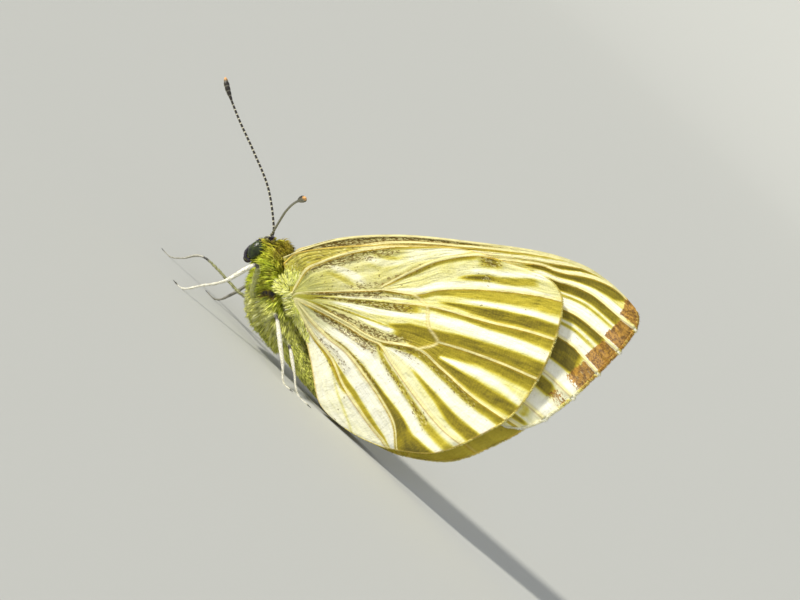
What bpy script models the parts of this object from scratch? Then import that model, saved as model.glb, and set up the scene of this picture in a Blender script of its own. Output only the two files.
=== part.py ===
"""A green-veined white butterfly at rest, life size: wings closed over the back, head towards -X.

The animal's left side faces -Y and its feet stand on the plane z = 0. Sizes below are in millimetres;
MM turns them into metres. The solids reach out to the tips of the fur, and wings, legs and feelers are
thicker than life so that each is a sound solid. Thin cuts part every sub-part from its neighbours.
"""

import bmesh
import bpy
import numpy as np

MM = 0.001
LEFT, RIGHT = -1, 1

CUT = 0.1  # width of the thin cut between two sub-parts
MERGE = 0.001  # points closer than this are one point

WING_THICKNESS = 0.5
FOREWING_LAYER = 0.33  # the middle of a closed forewing, out from the animal's middle plane
HINDWING_LAYER = 0.96  # the hindwings close outside the forewings
WING_LIFT = 0.05  # how far the lowest wing edge clears the floor
WING_FLEX = 0.3  # over about this height above the floor the wing edge bends up
WING_COLUMNS = 20  # cells from the leading edge to the inner margin
WING_ROWS = 16  # cells from the hinge to the outer margin
SPREAD_REACH = 3.0  # how far from the body the wings have closed to their layers

# The right hindwing's fan is opened wider, so it reaches back this many times as far from the hinge.
HINGE_X = 5.0
RIGHT_HINDWING_REACH = 1.08

# Wing edges as (x, z), from the hinge or from the leading corner onwards. Vein tips lie on the termen.
HINDWING = {
    "hinge": [(3.3, 6.1), (5.0, 4.95), (6.5, 3.85)],
    "costa": [(3.3, 6.1), (3.6, 7.4), (5.6, 9.8), (8.6, 12.7), (12.0, 15.5), (15.4, 17.15), (17.4, 18.0)],
    "termen": [
        (17.4, 18.0), (18.7, 18.15), (20.0, 17.5), (21.4, 15.2), (22.4, 12.3), (22.8, 9.2),
        (22.1, 6.5), (20.7, 3.5), (18.2, 1.45), (16.3, 0.6), (14.3, 0.1),
    ],
    "inner": [(6.5, 3.85), (8.0, 3.15), (9.8, 1.9), (11.7, 0.45), (13.0, 0.05), (14.3, 0.1)],
}
FOREWING = {
    "hinge": [(3.0, 6.3), (3.8, 5.8), (4.6, 5.3)],
    "costa": [
        (3.0, 6.3), (3.7, 7.8), (5.25, 10.2), (8.2, 13.2), (12.1, 16.2),
        (16.1, 19.0), (18.9, 20.35), (20.8, 20.75), (22.6, 20.8), (24.1, 20.65),
    ],
    "termen": [
        (24.1, 20.65), (24.8, 20.1), (25.2, 18.6), (25.25, 16.3),
        (25.1, 13.0), (24.65, 10.4), (23.9, 8.9), (22.7, 8.0),
    ],
    "inner": [(4.6, 5.3), (10.0, 5.6), (17.0, 6.6), (22.7, 8.0)],
}
# Where the wings stand off the body, as (x, z, y of the wing's middle), before they close to their layers.
HINDWING_SPREAD = [
    (2.9, 6.4, 2.05), (5.0, 4.9, 2.05), (6.6, 3.0, 1.7),
    (8.5, 1.9, 1.52), (12.0, 1.3, 1.52), (14.6, 1.2, 1.1),
]
FOREWING_SPREAD = [(2.9, 6.4, 1.42), (4.7, 5.2, 1.42)]

# Sections across the body as (x, top, bottom, half width).
SIDES = 16  # facets round a section
SHOULDER = 0.22  # how much narrower a section is at its top than at mid height
HEAD = [
    (0.85, 5.85, 5.25, 0.2), (1.0, 6.3, 4.95, 0.48), (1.2, 6.65, 4.8, 0.66),
    (1.45, 6.85, 4.75, 0.72), (1.66, 6.85, 4.8, 0.68),
]
THORAX = [
    (1.76, 6.85, 4.85, 0.6), (1.95, 7.05, 4.35, 0.98), (2.4, 7.25, 3.3, 1.25),
    (3.0, 7.15, 2.25, 1.42), (3.7, 6.75, 1.45, 1.52), (4.5, 6.15, 1.05, 1.55),
    (5.4, 5.45, 0.9, 1.5), (6.1, 4.8, 0.85, 1.38), (6.6, 4.3, 0.9, 1.25),
]
ABDOMEN = [
    (6.7, 3.9, 0.95, 1.12), (7.5, 3.45, 0.75, 1.15), (8.6, 2.95, 0.55, 1.15),
    (10.0, 2.55, 0.38, 1.1), (11.4, 2.25, 0.3, 1.02), (12.6, 2.05, 0.35, 0.86),
    (13.6, 1.85, 0.55, 0.62), (14.3, 1.6, 0.8, 0.36), (14.6, 1.4, 1.0, 0.16),
]

EYE_CENTRE = (1.2, 0.6, 5.3)
EYE_RADII = (0.54, 0.5, 0.76)
COIL_CENTRE = (1.02, 0.0, 4.12)  # the rolled-up tongue under the head
COIL_RADII = (0.52, 0.22, 0.52)

ROD_STEPS = 14  # rings along a leg or feeler
LEG_RADIUS = 0.25
FOOT_LEVEL = 0.19  # middle of a foot on the floor: less than its radius, which leaves it a flat
# Middle lines of the legs as (x, y, z): hip, knee, ankle and the points of the foot.
LEGS = {
    "leg_fore_left": [
        (3.5, -0.6, 2.6), (2.95, -1.45, 3.1), (2.0, -2.1, 4.7), (1.15, -2.8, 2.45),
        (0.2, -3.2, 1.15), (-0.7, -3.5, FOOT_LEVEL), (-1.4, -3.6, FOOT_LEVEL),
    ],
    "leg_fore_right": [
        (3.5, 0.5, 2.5), (2.3, 1.15, 1.95), (-1.2, 2.8, 1.85), (-2.4, 3.25, 0.75),
        (-3.2, 3.5, FOOT_LEVEL), (-3.9, 3.6, FOOT_LEVEL),
    ],
    "leg_mid_left": [
        (5.0, -0.7, 1.9), (5.15, -1.7, 2.3), (5.5, -2.3, 3.0), (7.2, -3.0, 1.75),
        (8.3, -3.4, 0.9), (9.2, -3.6, FOOT_LEVEL), (9.9, -3.7, FOOT_LEVEL),
    ],
    "leg_mid_right": [
        (4.6, 0.7, 2.0), (3.5, 1.75, 2.45), (2.5, 2.3, 2.75), (2.1, 2.65, 1.6),
        (1.7, 2.95, 0.6), (1.2, 3.1, FOOT_LEVEL), (0.5, 3.3, FOOT_LEVEL),
    ],
    "leg_hind_left": [
        (5.9, -0.6, 1.6), (6.9, -1.6, 2.0), (7.7, -2.0, 2.0), (9.2, -2.7, 1.0),
        (10.5, -3.1, FOOT_LEVEL), (11.6, -3.3, FOOT_LEVEL),
    ],
    "leg_hind_right": [
        (5.9, 0.6, 1.6), (6.9, 1.6, 2.0), (7.7, 2.0, 2.0), (9.1, 2.8, 1.0),
        (10.4, 3.3, FOOT_LEVEL), (11.5, 3.5, FOOT_LEVEL),
    ],
}
ANTENNA_RADIUS = 0.25
CLUB_RADIUS = 0.36
CLUB_TIP_RADIUS = 0.2
CLUB_SHARE = 0.17  # the club's share of the feeler's length
# Middle lines of the feelers, from inside the crown of the head to the tip of the club.
ANTENNAE = {
    "antenna_left": [
        (1.3, -0.3, 6.3), (1.22, -0.6, 7.05), (1.1, -2.8, 8.25), (1.05, -5.5, 9.45),
        (1.2, -8.3, 10.6), (1.6, -10.5, 11.65),
    ],
    "antenna_right": [
        (1.3, 0.3, 6.3), (1.1, 0.4, 7.1), (-1.18, 0.8, 8.94), (-3.74, 1.3, 10.1),
        (-6.18, 1.8, 11.05), (-8.07, 2.1, 11.95), (-9.0, 2.3, 12.55),
    ],
}
PALP_RADIUS = 0.25
PALP_STEPS = 9
PALP = [
    (1.4, 0.4, 4.8), (1.2, 0.5, 4.35), (0.88, 0.52, 4.25),
    (0.66, 0.5, 4.55), (0.58, 0.44, 5.0), (0.64, 0.38, 5.4),
]


def clear_scene():
    for item in list(bpy.data.objects):
        bpy.data.objects.remove(item)


def collection(name):
    made = bpy.data.collections.new(name)
    bpy.context.scene.collection.children.link(made)
    return made


def finish(name, colour, roughness, metallic=0.0):
    """A plain Principled material."""
    material = bpy.data.materials.new(name)
    material.use_nodes = True
    shader = material.node_tree.nodes["Principled BSDF"]
    shader.inputs["Base Color"].default_value = (*colour, 1.0)
    shader.inputs["Roughness"].default_value = roughness
    shader.inputs["Metallic"].default_value = metallic
    return material


def smooth_line(points, count=240):
    """Evenly spaced points along the Catmull-Rom curve through the given ones."""
    knots = np.array(points, float)
    ends = np.vstack([2 * knots[0] - knots[1], knots, 2 * knots[-1] - knots[-2]])
    t = np.linspace(0, 1, 24, endpoint=False)[:, None]
    spans = []
    for a, b, c, d in zip(ends, ends[1:], ends[2:], ends[3:]):
        bend = 2 * a - 5 * b + 4 * c - d + t * (3 * (b - c) + d - a)
        spans.append(b + 0.5 * t * (c - a + t * bend))
    line = np.vstack([*spans, knots[-1:]])
    length = np.r_[0, np.cumsum(np.linalg.norm(np.diff(line, axis=0), axis=1))]
    even = np.linspace(0, length[-1], count)
    return np.column_stack([np.interp(even, length, axis) for axis in line.T])


def at(line, t):
    """The place on an evenly spaced line at t from 0 to 1."""
    stations = np.linspace(0, 1, len(line))
    return np.array([np.interp(t, stations, axis) for axis in line.T])


def add_object(name, bm, material, group, root):
    """Turns bm, which is in millimetres, into a named object under the root empty."""
    bmesh.ops.scale(bm, vec=(MM, MM, MM), verts=bm.verts)
    bmesh.ops.recalc_face_normals(bm, faces=bm.faces)
    mesh = bpy.data.meshes.new(name)
    bm.to_mesh(mesh)
    bm.free()
    made = bpy.data.objects.new(name, mesh)
    made.parent = root
    group.objects.link(made)
    if material:
        mesh.materials.append(material)
    return made


def add_cutter(name, bm, cutters, root):
    made = add_object(name, bm, None, cutters, root)
    made.hide_render = True
    made.display_type = "WIRE"
    return made


def cut_back(made, cutter):
    """Takes the cutter's shape off made."""
    cut = made.modifiers.new("cut_" + cutter.name, "BOOLEAN")
    cut.operation = "DIFFERENCE"
    cut.object = cutter
    cut.solver = "EXACT"


def smooth_shading(made):
    made.data.shade_smooth()
    made.data.set_sharp_from_angle(angle=np.radians(50))


def section_loft(sections, outset=0.0):
    """A closed body through egg-shaped sections: a grid rolled into a tube along x, then capped."""
    table = np.array(sections, float)
    knots = np.linspace(-1, 1, len(table))
    bm = bmesh.new()
    bmesh.ops.create_grid(bm, x_segments=SIDES, y_segments=2 * (len(table) - 1), size=1.0)
    for vert in bm.verts:
        x, top, bottom, half_width = (np.interp(vert.co.y, knots, column) for column in table.T)
        turn = np.pi * vert.co.x
        high = np.sin(turn)
        half_height = (top - bottom) / 2 + outset
        across = (half_width + outset) * np.cos(turn) * (1 - SHOULDER * high)
        along = outset * np.trunc(vert.co.y)
        vert.co = (x + along, across, (top + bottom) / 2 + half_height * high)
    bmesh.ops.remove_doubles(bm, verts=bm.verts, dist=MERGE)
    bmesh.ops.holes_fill(bm, edges=[edge for edge in bm.edges if edge.is_boundary])
    return bm


def ellipsoid(centre, radii, outset=0.0):
    bm = bmesh.new()
    bmesh.ops.create_uvsphere(bm, u_segments=14, v_segments=10, radius=1.0)
    bmesh.ops.scale(bm, vec=[radius + outset for radius in radii], verts=bm.verts)
    bmesh.ops.translate(bm, vec=centre, verts=bm.verts)
    return bm


def rod(name, route, radii):
    """A round bar of changing radius along a smooth curve through route, flat where it meets the floor."""
    line = at(smooth_line(route), np.linspace(0, 1, len(radii))).T
    curve = bpy.data.curves.new(name, "CURVE")
    curve.dimensions = "3D"
    curve.bevel_depth = 1.0
    curve.bevel_resolution = 2
    curve.use_fill_caps = True
    spline = curve.splines.new("POLY")
    spline.points.add(len(line) - 1)
    for point, place, radius in zip(spline.points, line, radii):
        point.co = (*place, 1.0)
        point.radius = radius
    guide = bpy.data.objects.new(name + "_guide", curve)
    bpy.context.scene.collection.objects.link(guide)
    graph = bpy.context.evaluated_depsgraph_get()
    mesh = bpy.data.meshes.new_from_object(guide.evaluated_get(graph))
    bpy.data.objects.remove(guide)
    bm = bmesh.new()
    bm.from_mesh(mesh)
    bpy.data.meshes.remove(mesh)
    bmesh.ops.remove_doubles(bm, verts=bm.verts, dist=MERGE)
    for vert in bm.verts:
        vert.co.z = max(vert.co.z, 0.0)
    return bm


def coons(line, a, b):
    """The place on the patch between four edge curves, a from costa to inner and b from hinge to termen."""
    edges = (1 - b) * at(line["hinge"], a) + b * at(line["termen"], a)
    edges += (1 - a) * at(line["costa"], b) + a * at(line["inner"], b)
    corners = (1 - b) * ((1 - a) * line["hinge"][0] + a * line["hinge"][-1])
    corners += b * ((1 - a) * line["termen"][0] + a * line["termen"][-1])
    return edges - corners


def held(place, reach):
    """A wing's point drawn out from the hinge by reach, and bent up where it nears the floor."""
    x, z = place
    return HINGE_X + reach * (x - HINGE_X), WING_LIFT + (np.hypot(z, WING_FLEX) + z) / 2


def spread_at(x, z, layer, spread):
    """How far out the wing's middle lies: as spread says near the body, and on its layer away from it."""
    gap = np.hypot(spread[:, 0] - x, spread[:, 1] - z)
    nearest = gap.argmin()
    return layer + (spread[nearest, 2] - layer) * np.exp(-((gap[nearest] / SPREAD_REACH) ** 2))


def wing(name, edges, side, layer, spread, reach, material, group, root):
    line = {key: smooth_line(points) for key, points in edges.items()}
    body_line = smooth_line(spread)
    bm = bmesh.new()
    bmesh.ops.create_grid(bm, x_segments=WING_COLUMNS, y_segments=WING_ROWS, size=1.0)
    for vert in bm.verts:
        x, z = held(coons(line, (vert.co.x + 1) / 2, (vert.co.y + 1) / 2), reach)
        vert.co = (x, side * spread_at(x, z, layer, body_line), z)
    made = add_object(name, bm, material, group, root)
    wall = made.modifiers.new("wall", "SOLIDIFY")
    wall.thickness = WING_THICKNESS * MM
    wall.offset = 0.0


def build_wings(group, root):
    cream = finish("wing_cream", (0.83, 0.81, 0.6), 0.6)
    for side, word, reach in ((LEFT, "left", 1.0), (RIGHT, "right", RIGHT_HINDWING_REACH)):
        fore = ("forewing_" + word, FOREWING, side, FOREWING_LAYER, FOREWING_SPREAD, 1.0)
        hind = ("hindwing_" + word, HINDWING, side, HINDWING_LAYER, HINDWING_SPREAD, reach)
        wing(*fore, cream, group, root)
        wing(*hind, cream, group, root)


def build_trunk(group, cutters, root):
    """Head, thorax and abdomen, and the room that other pieces leave round the first two."""
    fur = finish("pale_green_fur", (0.62, 0.6, 0.33), 0.9)
    trunk = {}
    for name, sections in (("head", HEAD), ("thorax", THORAX), ("abdomen", ABDOMEN)):
        trunk[name] = add_object(name, section_loft(sections), fur, group, root)
        smooth_shading(trunk[name])
    head_room = add_cutter("head_room", section_loft(HEAD, CUT), cutters, root)
    thorax_room = add_cutter("thorax_room", section_loft(THORAX, CUT), cutters, root)
    return trunk["head"], head_room, thorax_room, fur


def build_face(group, cutters, root, head, head_room, fur):
    """Eyes set into the head, palps that curl up in front of it, and the rolled-up tongue below."""
    green = finish("eye_green", (0.2, 0.26, 0.12), 0.3)
    brown = finish("tongue_brown", (0.08, 0.05, 0.03), 0.5)
    palp_radii = np.full(PALP_STEPS, PALP_RADIUS)
    palp_radii[-1] *= 0.6
    for side, word in ((LEFT, "left"), (RIGHT, "right")):
        centre = (EYE_CENTRE[0], side * EYE_CENTRE[1], EYE_CENTRE[2])
        eye = add_object("eye_" + word, ellipsoid(centre, EYE_RADII), green, group, root)
        eye_room = add_cutter("eye_room_" + word, ellipsoid(centre, EYE_RADII, CUT), cutters, root)
        route = [(x, side * y, z) for x, y, z in PALP]
        palp = add_object("palp_" + word, rod("palp", route, palp_radii), fur, group, root)
        cut_back(head, eye_room)
        cut_back(palp, head_room)
        cut_back(palp, eye_room)
        smooth_shading(eye)
        smooth_shading(palp)
    coil = add_object("proboscis", ellipsoid(COIL_CENTRE, COIL_RADII), brown, group, root)
    smooth_shading(coil)


def feeler_radii():
    """A thin shaft that swells into a club with a rounded tip."""
    t = np.linspace(0, 1, ROD_STEPS)
    swell = np.clip(2 * (t - 1 + CLUB_SHARE) / CLUB_SHARE, 0, 1)
    radii = ANTENNA_RADIUS + (CLUB_RADIUS - ANTENNA_RADIUS) * swell
    radii[-1] = CLUB_TIP_RADIUS
    return radii


def build_limbs(routes, radii, material, room, group, root):
    for name, route in routes.items():
        limb = add_object(name, rod(name, route, radii), material, group, root)
        cut_back(limb, room)
        smooth_shading(limb)


def stand_on_origin(group, root):
    """Moves the root so that the middle of the model's base is the origin."""
    bpy.context.view_layer.update()
    graph = bpy.context.evaluated_depsgraph_get()
    corners = []
    for item in group.objects:
        if item.type == "MESH":
            seen = item.evaluated_get(graph)
            corners += [seen.matrix_world @ vert.co for vert in seen.data.vertices]
    low, high = np.min(corners, axis=0), np.max(corners, axis=0)
    root.location = (-(low[0] + high[0]) / 2, -(low[1] + high[1]) / 2, -low[2])


def main():
    clear_scene()
    group = collection("white_butterfly")
    cutters = collection("cutters")
    root = bpy.data.objects.new("butterfly_root", None)
    group.objects.link(root)
    head, head_room, thorax_room, fur = build_trunk(group, cutters, root)
    build_face(group, cutters, root, head, head_room, fur)
    dark = finish("feeler_dark", (0.07, 0.06, 0.05), 0.5)
    pale = finish("leg_white", (0.8, 0.79, 0.7), 0.5)
    build_limbs(ANTENNAE, feeler_radii(), dark, head_room, group, root)
    build_limbs(LEGS, np.full(ROD_STEPS, LEG_RADIUS), pale, thorax_room, group, root)
    build_wings(group, root)
    stand_on_origin(group, root)


main()
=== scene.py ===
# A green-veined white butterfly at rest, life size: its looks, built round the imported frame.
# Lengths are in millimetres. Zero is on the floor below the front of the head, midway between the eyes;
# the head points to -X and the animal's left side to -Y.

import math

import bpy
import numpy as np
from mathutils import Matrix, Vector


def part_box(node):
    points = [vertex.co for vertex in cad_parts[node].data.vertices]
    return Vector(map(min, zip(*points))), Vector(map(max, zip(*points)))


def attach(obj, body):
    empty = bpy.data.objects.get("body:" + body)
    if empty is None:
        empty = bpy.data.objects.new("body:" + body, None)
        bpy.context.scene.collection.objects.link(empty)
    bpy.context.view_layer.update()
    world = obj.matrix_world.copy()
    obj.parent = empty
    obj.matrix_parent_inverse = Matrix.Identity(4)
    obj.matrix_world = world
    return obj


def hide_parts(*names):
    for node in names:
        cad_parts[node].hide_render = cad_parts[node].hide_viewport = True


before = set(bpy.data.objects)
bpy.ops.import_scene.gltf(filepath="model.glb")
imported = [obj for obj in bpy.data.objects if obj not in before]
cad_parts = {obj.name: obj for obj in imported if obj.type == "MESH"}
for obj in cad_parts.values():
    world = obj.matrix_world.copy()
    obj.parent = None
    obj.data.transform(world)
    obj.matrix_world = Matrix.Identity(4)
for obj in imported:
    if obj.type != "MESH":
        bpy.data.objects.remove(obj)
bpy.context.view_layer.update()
mm = 0.001
left, right = -1, 1
chance = np.random.default_rng(7)

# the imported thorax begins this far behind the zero, and the eyes lie evenly about the middle plane
thoraxFront = 1.76
zero = np.array([
    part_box("thorax")[0][0] - thoraxFront * mm,
    (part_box("eye_left")[0][1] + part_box("eye_right")[1][1]) / 2,
    0.0,
])
print("frame loaded, zero at", zero)


def smoothStep(low, high, value):
    # 0 below low, 1 above high, an S curve between; high may be the lower one
    t = np.clip((value - low) / (high - low), 0, 1)
    return t * t * (3 - 2 * t)


def window(value, start, stop, soft):
    # 1 from start to stop: one S curve climbs from soft[0] before start to soft[1] after it, another falls
    # from soft[2] before stop to soft[3] after it
    up = smoothStep(start - soft[0], start + soft[1], value)
    return up * smoothStep(stop + soft[3], stop - soft[2], value)


def unit(vectors):
    # each vector divided by its length
    return vectors / np.maximum(np.linalg.norm(vectors, axis=-1, keepdims=True), 1e-9)


def smoothLine(points, count=240):
    # Catmull-Rom curve through the points, stepped along at equal lengths
    knots = np.array(points, float)
    ends = np.vstack([2 * knots[0] - knots[1], knots, 2 * knots[-1] - knots[-2]])
    a, b, c, d = (ends[k:len(ends) - 3 + k, None] for k in range(4))
    t = np.linspace(0, 1, 24, endpoint=False)[None, :, None]
    spans = b + 0.5 * t * (c - a + t * (2 * a - 5 * b + 4 * c - d + t * (3 * (b - c) + d - a)))
    line = np.vstack([spans.reshape(-1, knots.shape[1]), knots[-1:]])
    length = np.r_[0, np.cumsum(np.linalg.norm(np.diff(line, axis=0), axis=1))]
    even = np.linspace(0, length[-1], count)
    return np.column_stack([np.interp(even, length, axis) for axis in line.T])


def along(line, t):
    # the places on an evenly stepped line at shares t of its length
    stations = np.linspace(0, 1, len(line))
    return np.stack([np.interp(t, stations, axis) for axis in line.T], -1)


def gridQuads(rows, columns):
    # a grid's points numbered row by row, and a face between each four neighbours
    number = np.arange(rows * columns).reshape(rows, columns)
    corners = [number[:-1, :-1], number[1:, :-1], number[1:, 1:], number[:-1, 1:]]
    return number, np.stack(corners, -1).reshape(-1, 4)


def closeSheet(front, back):
    # two grids a wall apart become one closed shell: front, back turned round, and a strip round the rim
    number, quads = gridQuads(*front.shape[:2])
    rim = np.concatenate([number[0, :-1], number[:-1, -1], number[-1, :0:-1], number[:0:-1, 0]])
    following = np.roll(rim, -1)
    strip = np.stack([rim, following, following + number.size, rim + number.size], -1)
    points = np.concatenate([front.reshape(-1, 3), back.reshape(-1, 3)])
    return points, [quads, quads[:, ::-1] + number.size, strip]


def closeRings(rings, start, end):
    # rings of points one after another become a skin, and a point at each end closes it
    count, sides = rings.shape[:2]
    number = np.arange(count * sides).reshape(count, sides)
    beside = np.roll(number, -1, axis=1)
    quads = np.stack([number[:-1], beside[:-1], beside[1:], number[1:]], -1).reshape(-1, 4)
    first = np.stack([np.full(sides, number.size), beside[0], number[0]], -1)
    last = np.stack([np.full(sides, number.size + 1), number[-1], beside[-1]], -1)
    return np.concatenate([rings.reshape(-1, 3), [start], [end]]), [quads, first, last]


def tube(path, radii, sides, about):
    # a round or oval profile carried along a path: place + radius x (cosine x side + sine x up), where side
    # is square to the path and to about
    path = np.asarray(path, float)
    radii = np.asarray(radii, float).reshape(len(path), -1) * np.ones(2)
    ahead = unit(np.gradient(path, axis=0))
    side = unit(np.cross(ahead, about))
    up = np.cross(side, ahead)
    turn = np.linspace(0, 2 * np.pi, sides, endpoint=False)[None, :, None]
    rings = path[:, None] + radii[:, :1, None] * np.cos(turn) * side[:, None]
    rings = rings + radii[:, 1:, None] * np.sin(turn) * up[:, None]
    return closeRings(rings, path[0], path[-1])


def ringValues(values, sides, start, end):
    # a value for each ring of a tube becomes one for each of its points, with those of the two ends
    return np.r_[np.repeat(values, sides), start, end]


def tubeUnwrap(t, sides):
    # the way along a tube and the way round it
    around = np.r_[np.tile(np.arange(sides) / sides, len(t)), 0.5, 0.5]
    return np.stack([ringValues(t, sides, 0, 1), around], -1)


hairAt = np.array([0, 0.4, 0.75])  # where a hair's three rings stand along it; its tip is at 1
hairWide = np.array([0.8, 1.0, 0.6])  # how wide each ring is
hairPoints = 10
# where a hair's points lie about its root on an unwrap of the skin: a patch 0.003 across
hairPatch = np.array([(k % 3, k // 3) for k in range(hairPoints)]) * 0.001 - 0.0015


def blades(root, way, bend, length, width):
    # three-sided hairs that taper to a point: root + way x length x t + bend x t squared, t from 0 to 1
    count = len(root)
    side = unit(np.cross(way, chance.normal(size=(count, 3))))
    turn = np.array([0, 2, 4]) * np.pi / 3
    out = side[:, None] * np.cos(turn)[:, None] + np.cross(way, side)[:, None] * np.sin(turn)[:, None]
    middle = root[:, None] + way[:, None] * (length[:, None] * hairAt)[..., None]
    middle = middle + bend[:, None] * (hairAt ** 2)[None, :, None]
    rings = middle[:, :, None] + out[:, None] * (width * hairWide)[:, None, None]
    tip = root + way * length[:, None] + bend
    points = np.concatenate([rings.reshape(count, hairPoints - 1, 3), tip[:, None]], 1)
    bands = [(k, (k + 1) % 3, 3 + (k + 1) % 3, 3 + k) for k in range(3)]
    bands += [(a + 3, b + 3, c + 3, d + 3) for a, b, c, d in bands]
    caps = [(2, 1, 0), (6, 7, 9), (7, 8, 9), (8, 6, 9)]
    starts = (hairPoints * np.arange(count))[:, None, None]
    faces = [(np.array(shape)[None] + starts).reshape(-1, len(shape[0])) for shape in (bands, caps)]
    return points.reshape(-1, 3), faces


def hairUnwrap(across, up):
    # each hair is a small patch at its root's place on an unwrap
    return (np.stack([across, up], -1)[:, None] + hairPatch).reshape(-1, 2)


def join(parts):
    # several (points, faces) become one
    points, faces, count = [], [], 0
    for place, groups in parts:
        points.append(place)
        faces += [group + count for group in groups]
        count += len(place)
    return np.concatenate(points), faces


def volumeOf(points, faces):
    # the sum of a . (b x c) / 6 over every face's triangles, which is below zero if they face inwards
    total = 0.0
    for group in faces:
        for k in range(1, group.shape[1] - 1):
            a, b, c = points[group[:, 0]], points[group[:, k]], points[group[:, k + 1]]
            total += np.einsum("ij,ij->i", a, np.cross(b, c)).sum() / 6
    return total


def newObject(name, data):
    # an object in the scene for a mesh, a lamp or the camera
    made = bpy.data.objects.new(name, data)
    bpy.context.scene.collection.objects.link(made)
    return made


def makePiece(name, points, faces, finish, attributes=None, unwrap=None):
    # puts points, in mm, and faces into a mesh that rides on the frame
    if volumeOf(points - points.mean(0), faces) < 0:
        faces = [group[:, ::-1] for group in faces]
    corners = np.concatenate([group.ravel() for group in faces]).astype(np.int32)
    sizes = np.concatenate([np.full(len(group), group.shape[1]) for group in faces]).astype(np.int32)
    mesh = bpy.data.meshes.new(name)
    mesh.vertices.add(len(points))
    mesh.vertices.foreach_set("co", (points * mm + zero).astype(np.float32).ravel())
    mesh.loops.add(len(corners))
    mesh.loops.foreach_set("vertex_index", corners)
    mesh.polygons.add(len(sizes))
    mesh.polygons.foreach_set("loop_start", (np.cumsum(sizes) - sizes).astype(np.int32))
    mesh.polygons.foreach_set("use_smooth", np.ones(len(sizes), bool))
    for key, values in (attributes or {}).items():
        layer = mesh.attributes.new(key, "FLOAT", "POINT")
        layer.data.foreach_set("value", np.asarray(values, np.float32).ravel())
    if unwrap is not None:
        layer = mesh.uv_layers.new(name="OFBake")
        layer.data.foreach_set("uv", unwrap[corners].astype(np.float32).ravel())
    mesh.update(calc_edges=True)
    mesh.materials.append(finish)
    made = newObject(name, mesh)
    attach(made, "root")
    print(name, int((sizes - 2).sum()), "triangles")
    return made


def colour(hexValue):
    # an sRGB hex value as linear red, green, blue and full alpha
    value = np.array([int(hexValue[k:k + 2], 16) for k in (1, 3, 5)]) / 255
    line = np.where(value <= 0.04045, value / 12.92, ((value + 0.055) / 1.055) ** 2.4)
    return (*line, 1.0)


def newMaterial(name, *keys):
    # an empty finish: the material, its nodes, and the sockets it reads: place is Object coordinates, and
    # any other is an attribute of the mesh
    made = bpy.data.materials.new(name)
    made.use_nodes = True
    tree = made.node_tree
    reads = {key: add(tree, "Attribute", attribute_name=key).outputs["Fac"] for key in keys if key != "place"}
    if "place" in keys:
        reads["place"] = add(tree, "TexCoord").outputs["Object"]
    return made, tree, reads


def feed(tree, node, inputs):
    # gives each input its value, or a link from the node or socket that feeds it
    for key, value in inputs.items():
        if isinstance(value, bpy.types.Node):
            value = next(out for out in value.outputs if out.enabled)
        if isinstance(value, bpy.types.NodeSocket):
            tree.links.new(value, node.inputs[key])
        else:
            node.inputs[key].default_value = value


def add(tree, kind, inputs=(), ramp=(), **settings):
    # adds a node: its inputs in order or by name, its ramp's stops as (place, shade), its settings by name
    made = tree.nodes.new("ShaderNode" + kind)
    for key, value in settings.items():
        setattr(made, key, value)
    for place, _ in ramp[2:]:
        made.color_ramp.elements.new(place)
    for number, (place, shade) in enumerate(ramp):
        made.color_ramp.elements[number].position = place
        made.color_ramp.elements[number].color = colour(shade)
    feed(tree, made, inputs if isinstance(inputs, dict) else dict(enumerate(inputs)))
    return made


def surface(tree, shade, roughness, ior=1.5, bumps=(), **more):
    # gives the shader its colour, gloss and bumps, each (height, strength, depth in mm)
    normal = {}
    for height, strength, depth in bumps:
        inputs = {"Height": height, "Strength": strength, "Distance": depth * mm}
        normal = {"Normal": add(tree, "Bump", {**inputs, **normal})}
    feed(tree, tree.nodes["Principled BSDF"],
         {"Base Color": shade, "Roughness": roughness, "IOR": ior, **normal, **more})


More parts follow.
